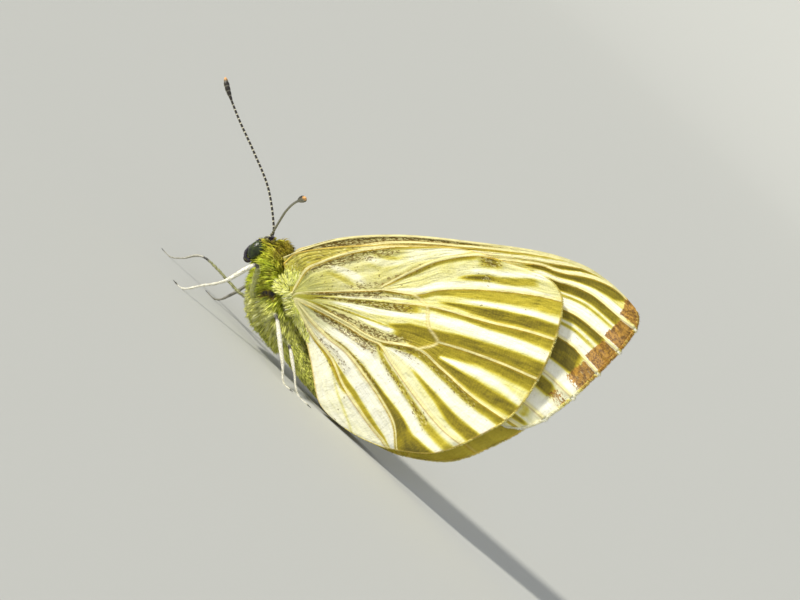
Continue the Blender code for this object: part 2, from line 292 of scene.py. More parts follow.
mixFactor, mixA, mixB = 0, 6, 7  # the sockets of a colour Mix node
wingPaint = {
    # the scales from bare white through cream and yellow to olive, by tone; the white end also serves as
    # painted light on folds that face the light, and the olive end partly as painted shade
    "tones": [(0.0, "#FDFBE8"), (0.14, "#F4F0BC"), (0.3, "#E3DB78"), (0.5, "#D0BE34"), (0.76, "#AA9810"),
              (1.0, "#706404")],
    # ribShade is painted shade beside the veins' ribs, darkest just under each vein
    "ridge": "#F7EEA8", "ribShade": "#B8920C", "base": "#A9AC28", "dust": "#6E5406", "dustAndShade": "#6A5C0A",
    "brown": "#BE8A2C", "brownDark": "#6E4406",
    "inside": 0.62,  # tone of the wings' inner faces: an even olive that paints the shade they lie in and the light seen through them
    "fleck": 0.075,  # width of a fleck, which is one dark scale or two side by side
    "scaleRow": 0.2,  # spacing of scale rows; really 0.08, drawn coarser so that it shows
    # how much the streaks, the cloud and the rows of scales sway the tone
    "sway": {"streaks": 0.42, "cloud": 0.26, "rows": 0.1},
    # noises: what each reads, the size of its cells, its detail and its roughness. The fan's cells are
    # measured in strips across the wing and in mm along it
    "noises": {
        "grain": ("place", (0.1 * mm,) * 3, 2, 0.6), "cloud": ("place", (1.3 * mm,) * 3, 5, 0.5),
        "crease": ("place", (0.9 * mm,) * 3, 3, 0.5), "streaks": ("fan", (1 / 6, 2, 1), 4, 0.5),
        "fibres": ("fan", (1 / 8, 1 / 2.2, 1), 4, 0.75),
    },
    # how ragged the brown patches' edges are, how grainy their fibres, and how many flecks the dust shows
    "patchRagged": 0.7, "mottleGrain": 0.6, "dustShare": 0.45,
    # masks, each an S curve: what it reads, where it is 0, where it is full, and how much that is
    "masks": {
        "root": ("reach", 4.4, 1.0, 0.6), "light": ("shade", 0.95, 0.6, 1),
        "offUpper": ("below", 0.02, 0.16, 1), "offLower": ("above", 0.14, 0.34, 1),
        "mottle": ("mottle", 0.66, 0.9, 1), "dustAndShade": ("streaks", 0.2, 0.62, 0.85),
        "paleFlecks": ("paleFlecks", -0.04, 0.06, 0.45), "darkFlecks": ("darkFlecks", 0.9, 1.0, 0.75),
        # under and over place the painted shade on the lower and the upper side of each vein
        "under": ("below", 0.17, 0.04, 1), "over": ("above", 0.3, 0.18, 0.4),
        "roomy": ("width", 0.15, 0.5, 1), "besideCross": ("cross", 0.02, 0.25, 0.5),
        "ridge": ("above", 0.2, 0.11, 1), "rim": ("edge", 0.16, 0.03, 0.8),
        "noPatch": ("patch", 0.4, 0.1, 1),
    },
}


def wingMaterial(name, paint):
    # Wing membrane shingled with flat chitin scales: matt and creamy, faintly satin where the rows catch
    # light. The pattern follows the veins: phase counts them, and its fraction is the way from one to the
    # next. below and above are the mm from the vein above and to the vein below.
    made, tree, value = newMaterial(name, "place", "phase", "width", "vein", "tone", "dust", "reach", "edge",
                                    "patch", "cross", "outer")
    value["share"] = add(tree, "Math", [value["phase"]], operation="FRACT")
    value["below"] = add(tree, "Math", [value["share"], value["width"]], operation="MULTIPLY")
    value["above"] = add(tree, "Math", [value["width"], value["below"]], operation="SUBTRACT")
    value["fan"] = add(tree, "CombineXYZ", [value["phase"], value["reach"]])
    for key, (source, size, detail, rough) in paint["noises"].items():
        spot = add(tree, "VectorMath", [value[source], size], operation="DIVIDE")
        value[key] = add(tree, "TexNoise", {"Vector": spot, "Scale": 1, "Detail": detail, "Roughness": rough})

    # rows of scales wavering with the cloud, and flecks twice as long as wide, new ones in each strip
    rows = add(tree, "Math", [value["cloud"], 1.2, value["reach"]], operation="MULTIPLY_ADD")
    rows = add(tree, "Math", [rows, 2 * math.pi / paint["scaleRow"]], operation="MULTIPLY")
    rows = add(tree, "Math", [rows], operation="SINE")
    value["rows"] = add(tree, "Math", [rows, 0.2, value["grain"]], operation="MULTIPLY_ADD")
    across = add(tree, "Math", [value["cloud"], 0.8, value["below"]], operation="MULTIPLY_ADD")
    strip = add(tree, "Math", [value["phase"]], operation="FLOOR")
    spot = add(tree, "CombineXYZ", [across, value["reach"], strip])
    spot = add(tree, "VectorMath", [spot, (1, 0.5, 3.7)], operation="MULTIPLY")
    flecks = add(tree, "TexVoronoi", {"Vector": spot, "Scale": 1 / paint["fleck"]}).outputs["Color"]

    # the strip's own tone, swayed about its middle; the inner faces are plainer, an even olive of painted
    # shade
    uneven = -sum(paint["sway"].values()) / 2
    for key, weight in paint["sway"].items():
        uneven = add(tree, "Math", [value[key], weight, uneven], operation="MULTIPLY_ADD")
    swing = add(tree, "Math", [value["tone"], 0.3], operation="ADD")
    tone = add(tree, "Math", [uneven, swing, value["tone"]], operation="MULTIPLY_ADD")
    inside = add(tree, "Math", [uneven, 0.8, paint["inside"]], operation="MULTIPLY_ADD")
    value["shade"] = add(tree, "Mix", {0: value["outer"], 2: inside, 3: tone}, data_type="FLOAT")

    thick = add(tree, "Math", [value["dust"], paint["dustShare"]], operation="MULTIPLY")
    value["paleFlecks"] = add(tree, "Math", [thick, flecks], operation="SUBTRACT")
    value["darkFlecks"] = add(tree, "Math", [thick, flecks], operation="ADD")
    mottle = [value["grain"], paint["mottleGrain"], value["fibres"]]
    value["mottle"] = add(tree, "Math", mottle, operation="MULTIPLY_ADD")
    mask = {}
    for key, (source, start, stop, most) in paint["masks"].items():
        mask[key] = add(tree, "MapRange", [value[source], start, stop, 0, most],
                        interpolation_type="SMOOTHSTEP")

    # what each coat covers: masks multiplied, then the cross veins added to the others
    cover = {
        # dustAndShade is a dark olive smear where dark scales lie thick: partly their dusting and partly
        # painted shade
        "root": [mask["root"], mask["light"]], "dustAndShade": [mask["dustAndShade"], value["dust"]],
        "patch": [value["patch"], mask["offUpper"], mask["offLower"]],
        "ribShade": [add(tree, "Math", [mask["under"], mask["over"]], operation="MAXIMUM"), mask["roomy"],
                  value["vein"], paint["ribShadeShare"]],
        "ridge": [mask["ridge"], value["vein"]], "rim": [mask["rim"], mask["noPatch"]],
    }
    for key, (whole, *factors) in cover.items():
        for factor in factors:
            whole = add(tree, "Math", [whole, factor], operation="MULTIPLY")
        cover[key] = whole
    # painted shade beside each vein's rib: full under it, faint above it, and round the cross veins
    ribShade = add(tree, "Math", [cover["ribShade"], mask["besideCross"]], operation="MAXIMUM")
    # the veins' pale colour, laid on each vein's upper side where it is partly a painted highlight, and over
    # the cross veins
    ridge = add(tree, "Math", [cover["ridge"], value["cross"]], operation="MAXIMUM")
    seen = add(tree, "Math", [value["outer"], 0.78, 0.12], operation="MULTIPLY_ADD")  # faint on inner faces
    ridge = add(tree, "Math", [ridge, seen], operation="MULTIPLY")
    patch = add(tree, "Math", [flecks, paint["patchRagged"], cover["patch"]], operation="MULTIPLY_ADD")
    patch = add(tree, "MapRange", [patch, 0.65, 0.97, 0, 0.95], interpolation_type="SMOOTHSTEP")

    # the coats, each over those before it
    brown = {mixFactor: mask["mottle"], mixA: colour(paint["brownDark"]), mixB: colour(paint["brown"])}
    brown = add(tree, "Mix", brown, data_type="RGBA")
    skin = add(tree, "ValToRGB", [value["shade"]], ramp=paint["tones"])
    for amount, shade in (
        (cover["root"], colour(paint["base"])), (patch, brown), (cover["dustAndShade"], colour(paint["dustAndShade"])),
        (mask["paleFlecks"], colour(paint["ridge"])), (mask["darkFlecks"], colour(paint["dust"])),
        (ribShade, colour(paint["ribShade"])), (ridge, colour(paint["ridge"])),
        (cover["rim"], colour(paint["margin"])),
    ):
        skin = add(tree, "Mix", {mixFactor: amount, mixA: skin, mixB: shade}, data_type="RGBA")
    creases = add(tree, "Math", [value["streaks"], value["crease"]], operation="ADD")
    bumps = (creases, 0.7, 0.2), (value["rows"], 0.45, 0.03)
    surface(tree, skin, 0.6, bumps=bumps, **{"Sheen Weight": 0.1})
    return made


# A wing lies layer from the middle plane, and spread is (x, z, half width) of the body that holds it out
# there. slope is how steeply its folds climb, and inset how far the membrane stops short of its hairs.
# Edges and veins are (x, z) as seen from the side, from the costa down. A line is a vein and the strip of
# membrane below it. vein is how far from the hinge its ridge begins, and tone is the strip's own. Each band
# has a tone and a list of (distance from the hinge, where it starts across the strip, where it ends).
# the pale and olive bands are partly the scales' own yellow and green-grey and partly painted light and shade:
# pale where a fold faces the light, olive where it turns away
noVein = 99  # farther than any wing reaches: the line is an edge
hindwing = {
    "layer": 0.96, "membrane": 0.12, "centre": (4.9, 4.6), "rows": 165, "columns": 225, "slope": 0.75,
    "inset": 0.08, "paint": {"ribShadeShare": 0.62, "margin": "#DDBE4E"},
    "hinge": [(3.3, 6.1), (5.0, 4.95), (6.5, 3.85)],
    "costa": [(3.3, 6.1), (3.6, 7.4), (5.6, 9.8), (8.6, 12.7), (12.0, 15.5), (15.4, 17.15), (17.4, 18.0)],
    "termen": [
        (17.4, 18.0), (18.7, 18.15), (20.0, 17.5), (21.4, 15.2), (22.4, 12.3), (22.8, 9.2),
        (22.1, 6.5), (20.7, 3.5), (18.2, 1.45), (16.3, 0.6), (14.3, 0.1),
    ],
    "inner": [(6.5, 3.85), (8.0, 3.15), (9.8, 1.9), (11.7, 0.45), (13.0, 0.05), (14.3, 0.1)],
    "spread": [
        (2.9, 6.4, 2.05), (5.0, 4.9, 2.05), (6.6, 3.0, 1.7),
        (8.5, 1.9, 1.52), (12.0, 1.3, 1.48), (14.6, 1.2, 1.12), (17.2, 1.1, 0.86), (19.6, 1.1, 0.78),
    ],
    "lines": [
        {"vein": 0, "tone": 0.45, "bands": [(0.2, [(6, 0.1, 0.9), (20, 0.1, 0.9)])],
         "path": [(3.3, 6.1), (3.6, 7.4), (5.6, 9.8), (8.6, 12.7), (12.0, 15.9)]},
        {"vein": 0, "tone": 0.24, "bands": [
            (0.08, [(3.6, 0.15, 0.3), (4.5, 0.35, 0.62), (5.5, 0.66, 0.88)]),
            (0.42, [(3.3, 0.35, 0.45), (4.2, 0.62, 0.8), (4.9, 0.85, 0.95)]),
            (0.1, [(6.2, 0.15, 0.3), (7.2, 0.3, 0.5), (8.6, 0.45, 0.6)]),
            (0.4, [(6.6, 0.05, 0.12), (7.6, 0.22, 0.34), (8.4, 0.38, 0.44)]),
            (0.12, [(9.0, 0.1, 0.6), (11.0, 0.1, 0.8), (13.0, 0.2, 0.7)]),
            (0.5, [(2.5, -1, 0.06), (14.0, -1, 0.1)])],
         "path": [(5.28, 4.89), (4.85, 6.73), (5.28, 7.88), (6.11, 9.42), (7.19, 10.94), (8.77, 12.75),
                  (11.13, 15.06), (12.01, 15.72)]},
        {"vein": 6.6, "tone": 0.22, "bands": [
            (0.62, [(6.8, -1, 0.12), (9, -1, 0.14), (13.8, -1, 0.08)]),
            (0.05, [(7.8, 0.68, 0.9), (11, 0.72, 0.94), (15, 0.78, 2), (19, 0.84, 2)]),
            (0.04, [(13.2, 0.4, 0.5), (15.5, 0.38, 0.52), (17.2, 0.26, 0.42), (18.6, 0.05, 0.3)]),
            (0.9, [(12.6, 0.6, 0.66), (13.6, 0.58, 0.72), (14.6, 0.58, 0.72), (15.2, 0.62, 0.68)]),
            (0.55, [(15.0, 0.6, 0.78), (16.5, 0.52, 0.76), (17.8, 0.4, 0.66)]),
            (0.66, [(14.2, -1, 0.3), (15.3, -1, 0.28)])],
         "path": [(5.28, 4.89), (5.58, 5.47), (7.58, 7.38), (9.47, 9.24), (9.74, 9.81), (10.52, 11.93),
                  (11.36, 13.73), (12.85, 15.62), (14.18, 16.62), (16.16, 17.72), (17.41, 18.26)]},
        {"vein": 0, "tone": 0.26, "bands": [
            (0.75, [(0, -1, 1), (2.4, -1, 0.9), (4.4, -1, 0.3), (8.6, -1, 0.12)]),
            (0.98, [(0.9, -1, 0.8), (2.8, -1, 0.55), (4.4, -1, 0.2)]),
            (0.1, [(3.6, 0.66, 0.9), (6.5, 0.5, 0.85), (8.6, 0.45, 0.6)]),
            (0.56, [(9.2, -1, 0.4), (10.6, -1, 0.28), (15, -1, 0.32), (20, -1, 0.36)]),
            (0.02, [(12.6, 0.42, 0.48), (14, 0.38, 0.5), (16.5, 0.4, 0.53), (20, 0.45, 0.6)]),
            (0.86, [(11.2, 0.62, 0.68), (13, 0.58, 0.8), (15, 0.55, 0.9), (20, 0.62, 0.9)])],
         "path": [(5.28, 4.89), (5.58, 5.47), (7.58, 7.38), (9.49, 9.18), (11.66, 10.7), (12.79, 12.2),
                  (14.35, 13.75), (16.12, 15.2), (18.11, 16.65), (19.99, 17.7)]},
        {"vein": 7.8, "tone": 0.24, "bands": [
            (0.98, [(0.8, -1, 2), (2.2, -1, 0.4), (3.4, -1, 0.2)]),
            (0.58, [(3, -1, 0.25), (6, -1, 0.22), (9.4, -1, 0.3)]),
            (0.04, [(3.4, 0.42, 0.7), (6, 0.38, 0.72), (8.4, 0.34, 0.5), (10.5, 0.2, 0.42), (13, 0.17, 0.5),
                    (16, 0.22, 0.5), (20, 0.3, 0.52)]),
            (0.72, [(10.0, -1, 0.08), (13, -1, 0.12), (20, -1, 0.26)]),
            (0.82, [(7.8, 0.86, 2), (9, 0.68, 2), (10.6, 0.66, 2), (13, 0.58, 2), (15.5, 0.57, 2),
                    (20, 0.58, 2)])],
         "path": [(5.31, 4.86), (7.99, 6.94), (10.86, 9.14), (12.78, 10.65), (14.68, 11.72),
                  (16.93, 12.88), (19.25, 14.22), (21.19, 15.16)]},
        {"vein": 11.3, "tone": 0.24, "bands": [
            (0.85, [(1.8, 0.2, 0.8), (2.6, 0.3, 0.86), (3.3, 0.5, 0.7)]),
            (0.5, [(3.0, -1, 0.14), (8.4, -1, 0.1)]),
            (0.03, [(5.5, 0.12, 0.26), (7.4, 0.06, 0.34), (8.3, 0.05, 0.3)]),
            (0.78, [(8.3, -1, 0.34), (9.4, -1, 0.7), (10.2, -1, 2), (11.2, -1, 2), (11.9, -1, 0.5),
                    (13, -1, 0.36), (14.5, -1, 0.22), (20, -1, 0.26)]),
            (0.03, [(11.8, 0.56, 0.62), (13, 0.44, 0.58), (15, 0.3, 0.5), (16.5, 0.36, 0.5),
                    (18.4, 0.5, 0.6)]),
            (0.86, [(11, 0.72, 0.86), (12, 0.66, 0.9), (15, 0.59, 0.9), (17.5, 0.62, 0.88),
                    (20, 0.68, 0.84)])],
         "path": [(5.33, 4.83), (8.48, 6.4), (12.03, 7.87), (15.21, 9.3), (17.02, 10.2),
                  (19.58, 11.3), (22.13, 12.21)]},
        {"vein": 0, "tone": 0.15, "bands": [
            (0.72, [(7.6, 0, 0.6), (8.5, -1, 0.22), (12, -1, 0.16), (20, -1, 0.18)]),
            (0.03, [(8.4, 0.32, 0.5), (10, 0.26, 0.54), (13, 0.2, 0.5), (15, 0.2, 0.52), (20, 0.25, 0.54)]),
            (0.84, [(10.6, 0.57, 0.6), (13, 0.54, 0.68), (15, 0.56, 0.8), (20, 0.6, 0.94)])],
         "path": [(5.43, 4.72), (6.41, 5.09), (9.32, 5.79), (11.85, 6.38), (14.45, 7.94), (16.7, 8.08),
                  (19.72, 8.15), (22.53, 8.57)]},
        {"vein": 0, "tone": 0.1, "bands": [
            (0.62, [(2.0, -1, 0.2), (5, -1, 0.12), (8, -1, 0.1)]),
            (0.6, [(7.8, 0.1, 0.2), (12, 0.12, 0.25), (20, 0.12, 0.28)]),
            (0.02, [(4, 0.35, 0.72), (8, 0.32, 0.72), (12, 0.3, 0.6), (14, 0.3, 0.46), (16, 0.3, 0.38)]),
            (0.95, [(3.8, 0.87, 0.93), (8, 0.84, 0.96), (10, 0.78, 2), (12, 0.66, 2), (14, 0.5, 2),
                    (16, 0.42, 2)])],
         "path": [(5.43, 4.72), (6.41, 5.09), (9.32, 5.79), (11.85, 6.38), (13.93, 5.94), (16.85, 5.34),
                  (19.55, 5.0), (21.58, 5.12)]},
        {"vein": 0, "tone": 0.08, "bands": [
            (0.02, [(4, 0.1, 0.6), (8, 0.15, 0.6), (14, 0.1, 0.66)]),
            (0.7, [(3, 0.86, 2), (6, 0.84, 2), (7.2, 0.72, 0.94), (8.5, 0.66, 0.86), (10, 0.7, 0.88),
                   (13.6, 0.76, 2)])],
         "path": [(5.53, 4.72), (7.49, 4.3), (9.19, 4.2), (10.98, 4.32), (13.24, 3.92), (15.06, 3.49),
                  (16.89, 2.81), (18.25, 1.57)]},
        {"vein": 0, "tone": 0.06, "bands": [
            (0.68, [(3.8, -1, 0.12), (6, -1, 0.15), (8.2, -1, 0.06)]),
            (0.36, [(7.0, 0.16, 0.18), (9, 0.33, 0.38), (10.4, 0.5, 0.54), (13, 0.8, 0.84)])],
         "path": [(5.56, 4.64), (7.08, 4.01), (8.56, 3.53), (10.51, 3.21), (12.57, 2.34), (15.62, 1.62),
                  (17.02, 1.41)]},
        {"vein": noVein, "tone": 0.1, "bands": [],
         "path": [(6.5, 3.85), (8.0, 3.15), (9.8, 1.9), (11.7, 0.45), (13.0, 0.05), (14.3, -0.3)]},
    ],
    "cross": [(11.66, 10.7), (12.68, 10.75), (13.04, 10.62), (13.93, 9.77), (15.21, 9.3), (14.45, 7.94)],
    # flecks of dark scales: the strip, from and to across it, from and to along it, and how thick
    "dusts": [
        (0, -1, 2, 1.0, 7.0, 0.4), (1, -1, 0.26, 2.0, 8.6, 0.85), (1, 0.2, 2, 1.5, 8.0, 0.15),
        (1, 0.84, 2, 4.0, 10.0, 0.7), (2, -1, 0.12, 7.0, 10.5, 0.7), (2, -1, 0.3, 14.2, 15.4, 0.9),
        (2, 0.56, 0.74, 13.0, 15.4, 0.5), (3, -1, 0.7, 1.6, 7.2, 1.0), (3, -1, 0.5, 7.0, 9.0, 0.5),
        (4, -1, 0.34, 2.5, 9.0, 0.8), (5, 0.4, 0.95, 3.0, 9.2, 1.0), (5, -1, 0.2, 2.0, 5.0, 0.5),
        (6, -1, 0.4, 7.6, 10.0, 0.6), (6, -1, 0.22, 10.0, 16.0, 0.45), (7, -1, 0.4, 2.5, 7.6, 1.0),
        (7, 0.1, 0.3, 8.0, 14.0, 0.6), (7, 0.8, 2, 3.0, 9.0, 0.7), (8, 0.35, 0.8, 3.0, 7.0, 0.45),
        (9, -1, 0.2, 3.0, 8.0, 0.4), (9, 0.4, 2, 1.6, 3.2, 0.8),
    ],
    "patches": [],
    "fringe": {"count": 1500, "length": 0.18, "tuft": 0.2, "white": 0.14, "tone": 0.3, "dark": 0.1,
               "patch": 0},
}
forewing = {
    "layer": 0.33, "membrane": 0.12, "centre": (3.6, 5.6), "rows": 185, "columns": 170, "slope": 0.7,
    "inset": 0.2, "paint": {"ribShadeShare": 0.55, "margin": "#EAE3A6"},
    "hinge": [(3.0, 6.3), (3.8, 5.8), (4.6, 5.3)],
    "costa": [
        (3.0, 6.3), (3.7, 7.8), (5.25, 10.2), (8.2, 13.2), (12.1, 16.2),
        (16.1, 19.0), (18.9, 20.35), (20.8, 20.75), (22.6, 20.8), (24.1, 20.65),
    ],
    "termen": [
        (24.1, 20.65), (24.8, 20.1), (25.2, 18.6), (25.25, 16.3),
        (25.1, 13.0), (24.65, 10.4), (23.9, 8.9), (22.7, 8.0),
    ],
    "inner": [(4.6, 5.3), (10.0, 5.6), (17.0, 6.6), (22.7, 8.0)],
    "spread": [(2.9, 6.4, 1.42), (4.7, 5.2, 1.42)],
    "lines": [
        {"vein": 0, "tone": 0.35, "bands": [
            (0.92, [(1.5, 0.12, 0.8), (9, 0.12, 0.75), (15, 0.3, 0.6)]),
            (0.08, [(13, 0.6, 0.95), (18, 0.3, 0.9), (23, 0.3, 0.9)])],
         "path": [(3.0, 6.3), (3.7, 7.8), (5.25, 10.2), (8.2, 13.2), (12.1, 16.2), (16.1, 19.0),
                  (18.9, 20.35), (20.8, 20.95)]},
        {"vein": 0, "tone": 0.3, "bands": [
            (0.55, [(10, -1, 0.3), (17, -1, 0.35), (19, -1, 0.2)]),
            (0.06, [(12, 0.45, 2), (18, 0.5, 2), (20, 0.3, 2), (24, 0.3, 2)])],
         "path": [(3.7, 6.3), (7.6, 11.8), (12.0, 15.6), (15.6, 18.35), (18.0, 19.9)]},
        {"vein": 0, "tone": 0.25, "bands": [
            (0.85, [(16.5, -1, 0.3), (18.8, -1, 0.5), (20, -1, 0.55), (21.6, -1, 0.45), (22.6, -1, 0.1)]),
            (0.04, [(17.5, 0.55, 2), (20, 0.6, 2), (21.6, 0.5, 2), (23.4, 0.2, 2)])],
         "path": [(3.7, 6.2), (8.0, 11.4), (12.2, 15.2), (15.7, 17.9), (17.0, 18.78), (18.0, 19.47),
                  (18.85, 20.04), (19.5, 20.45)]},
        {"vein": 0, "tone": 0.3, "bands": [
            (0.88, [(17.5, -1, 0.3), (19.5, 0.04, 0.5), (21.5, 0.02, 0.55), (23.6, 0.02, 0.5),
                    (24.5, -1, 0.2)]),
            (0.02, [(18, 0.5, 2), (20, 0.6, 2), (22, 0.64, 2), (24.5, 0.6, 2)])],
         "path": [(3.8, 6.15), (8.1, 11.15), (12.35, 15.0), (16.4, 18.1), (17.8, 18.75), (18.66, 19.22),
                  (19.23, 19.63), (20.1, 20.15), (21.07, 20.56), (21.9, 20.74), (22.93, 20.82)]},
        {"vein": 0, "tone": 0.3, "bands": [
            (0.9, [(16, -1, 0.34), (20, -1, 0.34), (24.2, -1, 0.3)]),
            (0.02, [(14, 0.36, 0.43), (20, 0.36, 0.43), (24.2, 0.36, 0.43)]),
            (0.72, [(19.5, 0.46, 0.5), (22, 0.46, 0.5), (23.8, 0.47, 0.49)]),
            (0.0, [(14, 0.55, 2), (20, 0.56, 2), (26, 0.56, 2)])],
         "path": [(3.8, 6.1), (8.2, 10.8), (12.8, 14.4), (17.2, 17.65), (18.7, 18.42), (19.5, 18.84),
                  (20.8, 19.3), (22.0, 19.42), (23.3, 19.46), (24.86, 19.62)]},
        {"vein": 0, "tone": 0.3, "bands": [
            (0.9, [(16, -1, 0.3), (20, -1, 0.31), (23.4, -1, 0.26)]),
            (0.02, [(14, 0.35, 0.43), (20, 0.35, 0.43), (24, 0.34, 0.42)]),
            (0.72, [(19.5, 0.47, 0.52), (21.5, 0.47, 0.51), (22.6, 0.48, 0.5)]),
            (0.0, [(14, 0.57, 2), (20, 0.57, 2), (26, 0.57, 2)])],
         "path": [(3.9, 6.0), (8.4, 9.8), (13.0, 13.3), (17.0, 15.95), (20.44, 17.25), (21.6, 17.52),
                  (23.47, 17.6), (25.24, 17.62)]},
        {"vein": 0, "tone": 0.12, "bands": [
            (0.98, [(14, -1, 0.55), (20.2, -1, 0.6), (21.6, -1, 0.6), (22.1, -1, 0.5)]),
            (0.0, [(14, 0.64, 2), (20, 0.66, 2), (26, 0.6, 2)])],
         "path": [(4.0, 5.9), (8.4, 9.1), (13.0, 12.1), (17.0, 14.3), (21.6, 15.56), (23.4, 15.6),
                  (25.32, 15.42)]},
        {"vein": 0, "tone": 0.1, "bands": [
            (0.92, [(14, 0.1, 0.5), (19.9, 0.12, 0.46), (20.8, 0.12, 0.46), (21.1, 0.16, 0.4)]),
            (0.0, [(14, 0.58, 0.9), (20, 0.56, 0.9), (26, 0.5, 0.9)])],
         "path": [(4.1, 5.8), (8.4, 8.2), (13.0, 10.4), (17.0, 12.0), (21.84, 12.92), (25.13, 12.95)]},
        {"vein": 0, "tone": 0.12, "bands": [
            (0.88, [(14, 0.2, 0.8), (18.6, 0.55, 0.86), (19.8, 0.62, 0.8), (20.5, 0.64, 0.78)]),
            (0.6, [(19.9, 0.06, 0.5), (20.1, 0.06, 0.5), (20.2, 0.1, 0.4)])],
         "path": [(4.2, 5.7), (8.4, 7.2), (13.0, 8.7), (17.0, 9.7), (22.15, 10.3), (24.69, 10.45)]},
        {"vein": 0, "tone": 0.15, "bands": [(0.5, [(12, -1, 0.3), (26, -1, 0.3)])],
         "path": [(4.4, 5.6), (10.0, 6.4), (17.0, 7.6), (23.5, 8.75)]},
        {"vein": noVein, "tone": 0.1, "bands": [],
         "path": [(4.6, 5.3), (10.0, 5.6), (17.0, 6.6), (22.7, 8.0)]},
    ],
    "cross": [(17.0, 17.4), (17.4, 15.9), (16.9, 14.2)],
    "dusts": [(0, 0.1, 0.8, 1.0, 13.0, 1.0), (1, -1, 0.4, 3.0, 12.0, 0.6), (0, 0.2, 0.8, 12.5, 19.0, 0.6)],
    # brown patches on the outer margin: the strip, how brown, from and to across it, and their depth
    "patches": [(2, 0.45, 0.3, 2), (3, 0.9, -1, 2), (4, 1.0, -1, 2), (5, 1.0, -1, 2), (6, 0.8, -1, 0.72),
                (7, 0.5, 0.12, 0.45)],
    "patchDepth": 1.38, "patchSlant": 0.3,
    # hairs of the rim: how many, their length between veins and at a vein, how wide that tuft is, their tone,
    # and how much darker they are between veins and beside a brown patch
    "fringe": {"count": 1700, "length": 0.3, "tuft": 0.46, "white": 0.15, "tone": 0.1, "dark": 0.1,
               "patch": 0.5},
}
wingHold = {
    "hingeX": 5.0, "rightReach": 1.08,  # the right hindwing's fan is opened wider, as in the frame
    "lift": 0.05, "flex": 0.3,  # the lowest edge bends up off the floor
    "spreadReach": 3.0, "blend": 1.2,  # how far the body spreads the wings, and how softly
    "across": (0.003, 0.997),  # the grid stops this short of the costa and the inner edge
    "stemGap": 0.12,  # veins on one stem keep this far apart
    # ribs stand this high beside a vein, and shrink where a strip is narrower than ridgeRoom
    "ridgeHeight": 0.045, "ridgeAt": 0.08, "ridgeWidth": 0.1, "ridgeRoom": (0.15, 0.5), "crossWidth": 0.085,
    # folds: the table's reach, its rings and its steps across a strip, how far from the hinge they begin, and
    # the width past which a strip doesn't bulge more
    "foldReach": 28, "foldRings": 113, "foldSteps": 41, "foldFrom": (1.0, 4.0), "wide": 2.6,
    "rimWall": 0.02, "rimReach": 0.6,  # half the membrane's thickness at its edge, and how far it thickens
    # how softly bands, dark scales and brown patches begin and end, across a strip and along it
    "bandSoft": (0.05, 0.05, 0.05, 0.07), "bandEnd": (0.5, 0.4, 0.3, 0.4),
    "dustSoft": (0.08, 0.08, 0.08, 0.08), "dustEnd": (0.8, 0.8, 1.0, 1.0),
    "patchSoft": (0.1, 0.1, 0.15, 0.15), "patchEnd": (-0.1, 0.1),
    # a patch stops this near the veins, and the strip it is on is white beside them
    "patchGap": (0.03, 0.13), "patchWhite": (0.2, 0.1), "patchTone": 0.04,
    "narrow": (0.5, 0.1), "narrowTone": 0.3, "narrowShare": 0.6,  # a narrower strip goes mostly to one tone
    "hairWidth": 0.022, "hairStray": 0.16, "hairRoot": 0.08, "hairLayer": 0.03, "hairBend": 0.03,
}


def coons(edges, a, b):
    # the patch between four edges: opposite edges blended, less the blend of the corners
    a, b = a[None, :, None], b[:, None, None]
    hinge, termen = (along(edges[key], a[0, :, 0])[None] for key in ("hinge", "termen"))
    costa, inner = (along(edges[key], b[:, 0, 0])[:, None] for key in ("costa", "inner"))
    blend = (1 - b) * hinge + b * termen + (1 - a) * costa + a * inner
    corners = (1 - b) * ((1 - a) * hinge[:, :1] + a * hinge[:, -1:])
    return blend - corners - b * ((1 - a) * termen[:, :1] + a * termen[:, -1:])


def wingPhase(wing, x, z):
    # polar angle about the hinge against each vein's angle at that radius: whole numbers are veins, and
    # the fraction is the share of the way to the next one
    away = np.hypot(x - wing["centre"][0], z - wing["centre"][1])
    angle = np.arctan2(z - wing["centre"][1], x - wing["centre"][0])
    turns = []
    for strip in wing["lines"]:
        line = smoothLine(strip["path"]) - wing["centre"]
        reach = np.maximum.accumulate(np.hypot(*line.T) + np.linspace(0, 1e-3, len(line)))
        turn = np.interp(away, reach, np.arctan2(line[:, 1], line[:, 0]))
        if turns:
            turn = np.minimum(turn, turns[-1] - wingHold["stemGap"] / np.maximum(away, 0.3))
        turns.append(turn)
    turns = np.array(turns)
    strip = np.clip((angle < turns).sum(0) - 1, 0, len(turns) - 2)
    upper = np.take_along_axis(turns, strip[None], 0)[0]
    lower = np.take_along_axis(turns, strip[None] + 1, 0)[0]
    share = np.clip((upper - angle) / (upper - lower), 0.0, 1.0)
    return away, strip, share, (upper - lower) * away


def stripTone(wing, strip, share, away):
    # each band is laid over the strip's own tone, between its start and stop and over its length
    # the bands are partly the scales' own colour and partly painted light and shade of the folds
    tone = np.array([line["tone"] for line in wing["lines"]])[strip]
    for number, line in enumerate(wing["lines"]):
        here = strip == number
        for shade, knots in line["bands"]:
            knots = np.array(knots, float)
            start, stop = (np.interp(away[here], knots[:, 0], knots[:, k]) for k in (1, 2))
            inside = window(share[here], start, stop, wingHold["bandSoft"])
            inside = inside * window(away[here], knots[0, 0], knots[-1, 0], wingHold["bandEnd"])
            tone[here] += (shade - tone[here]) * inside
    return tone


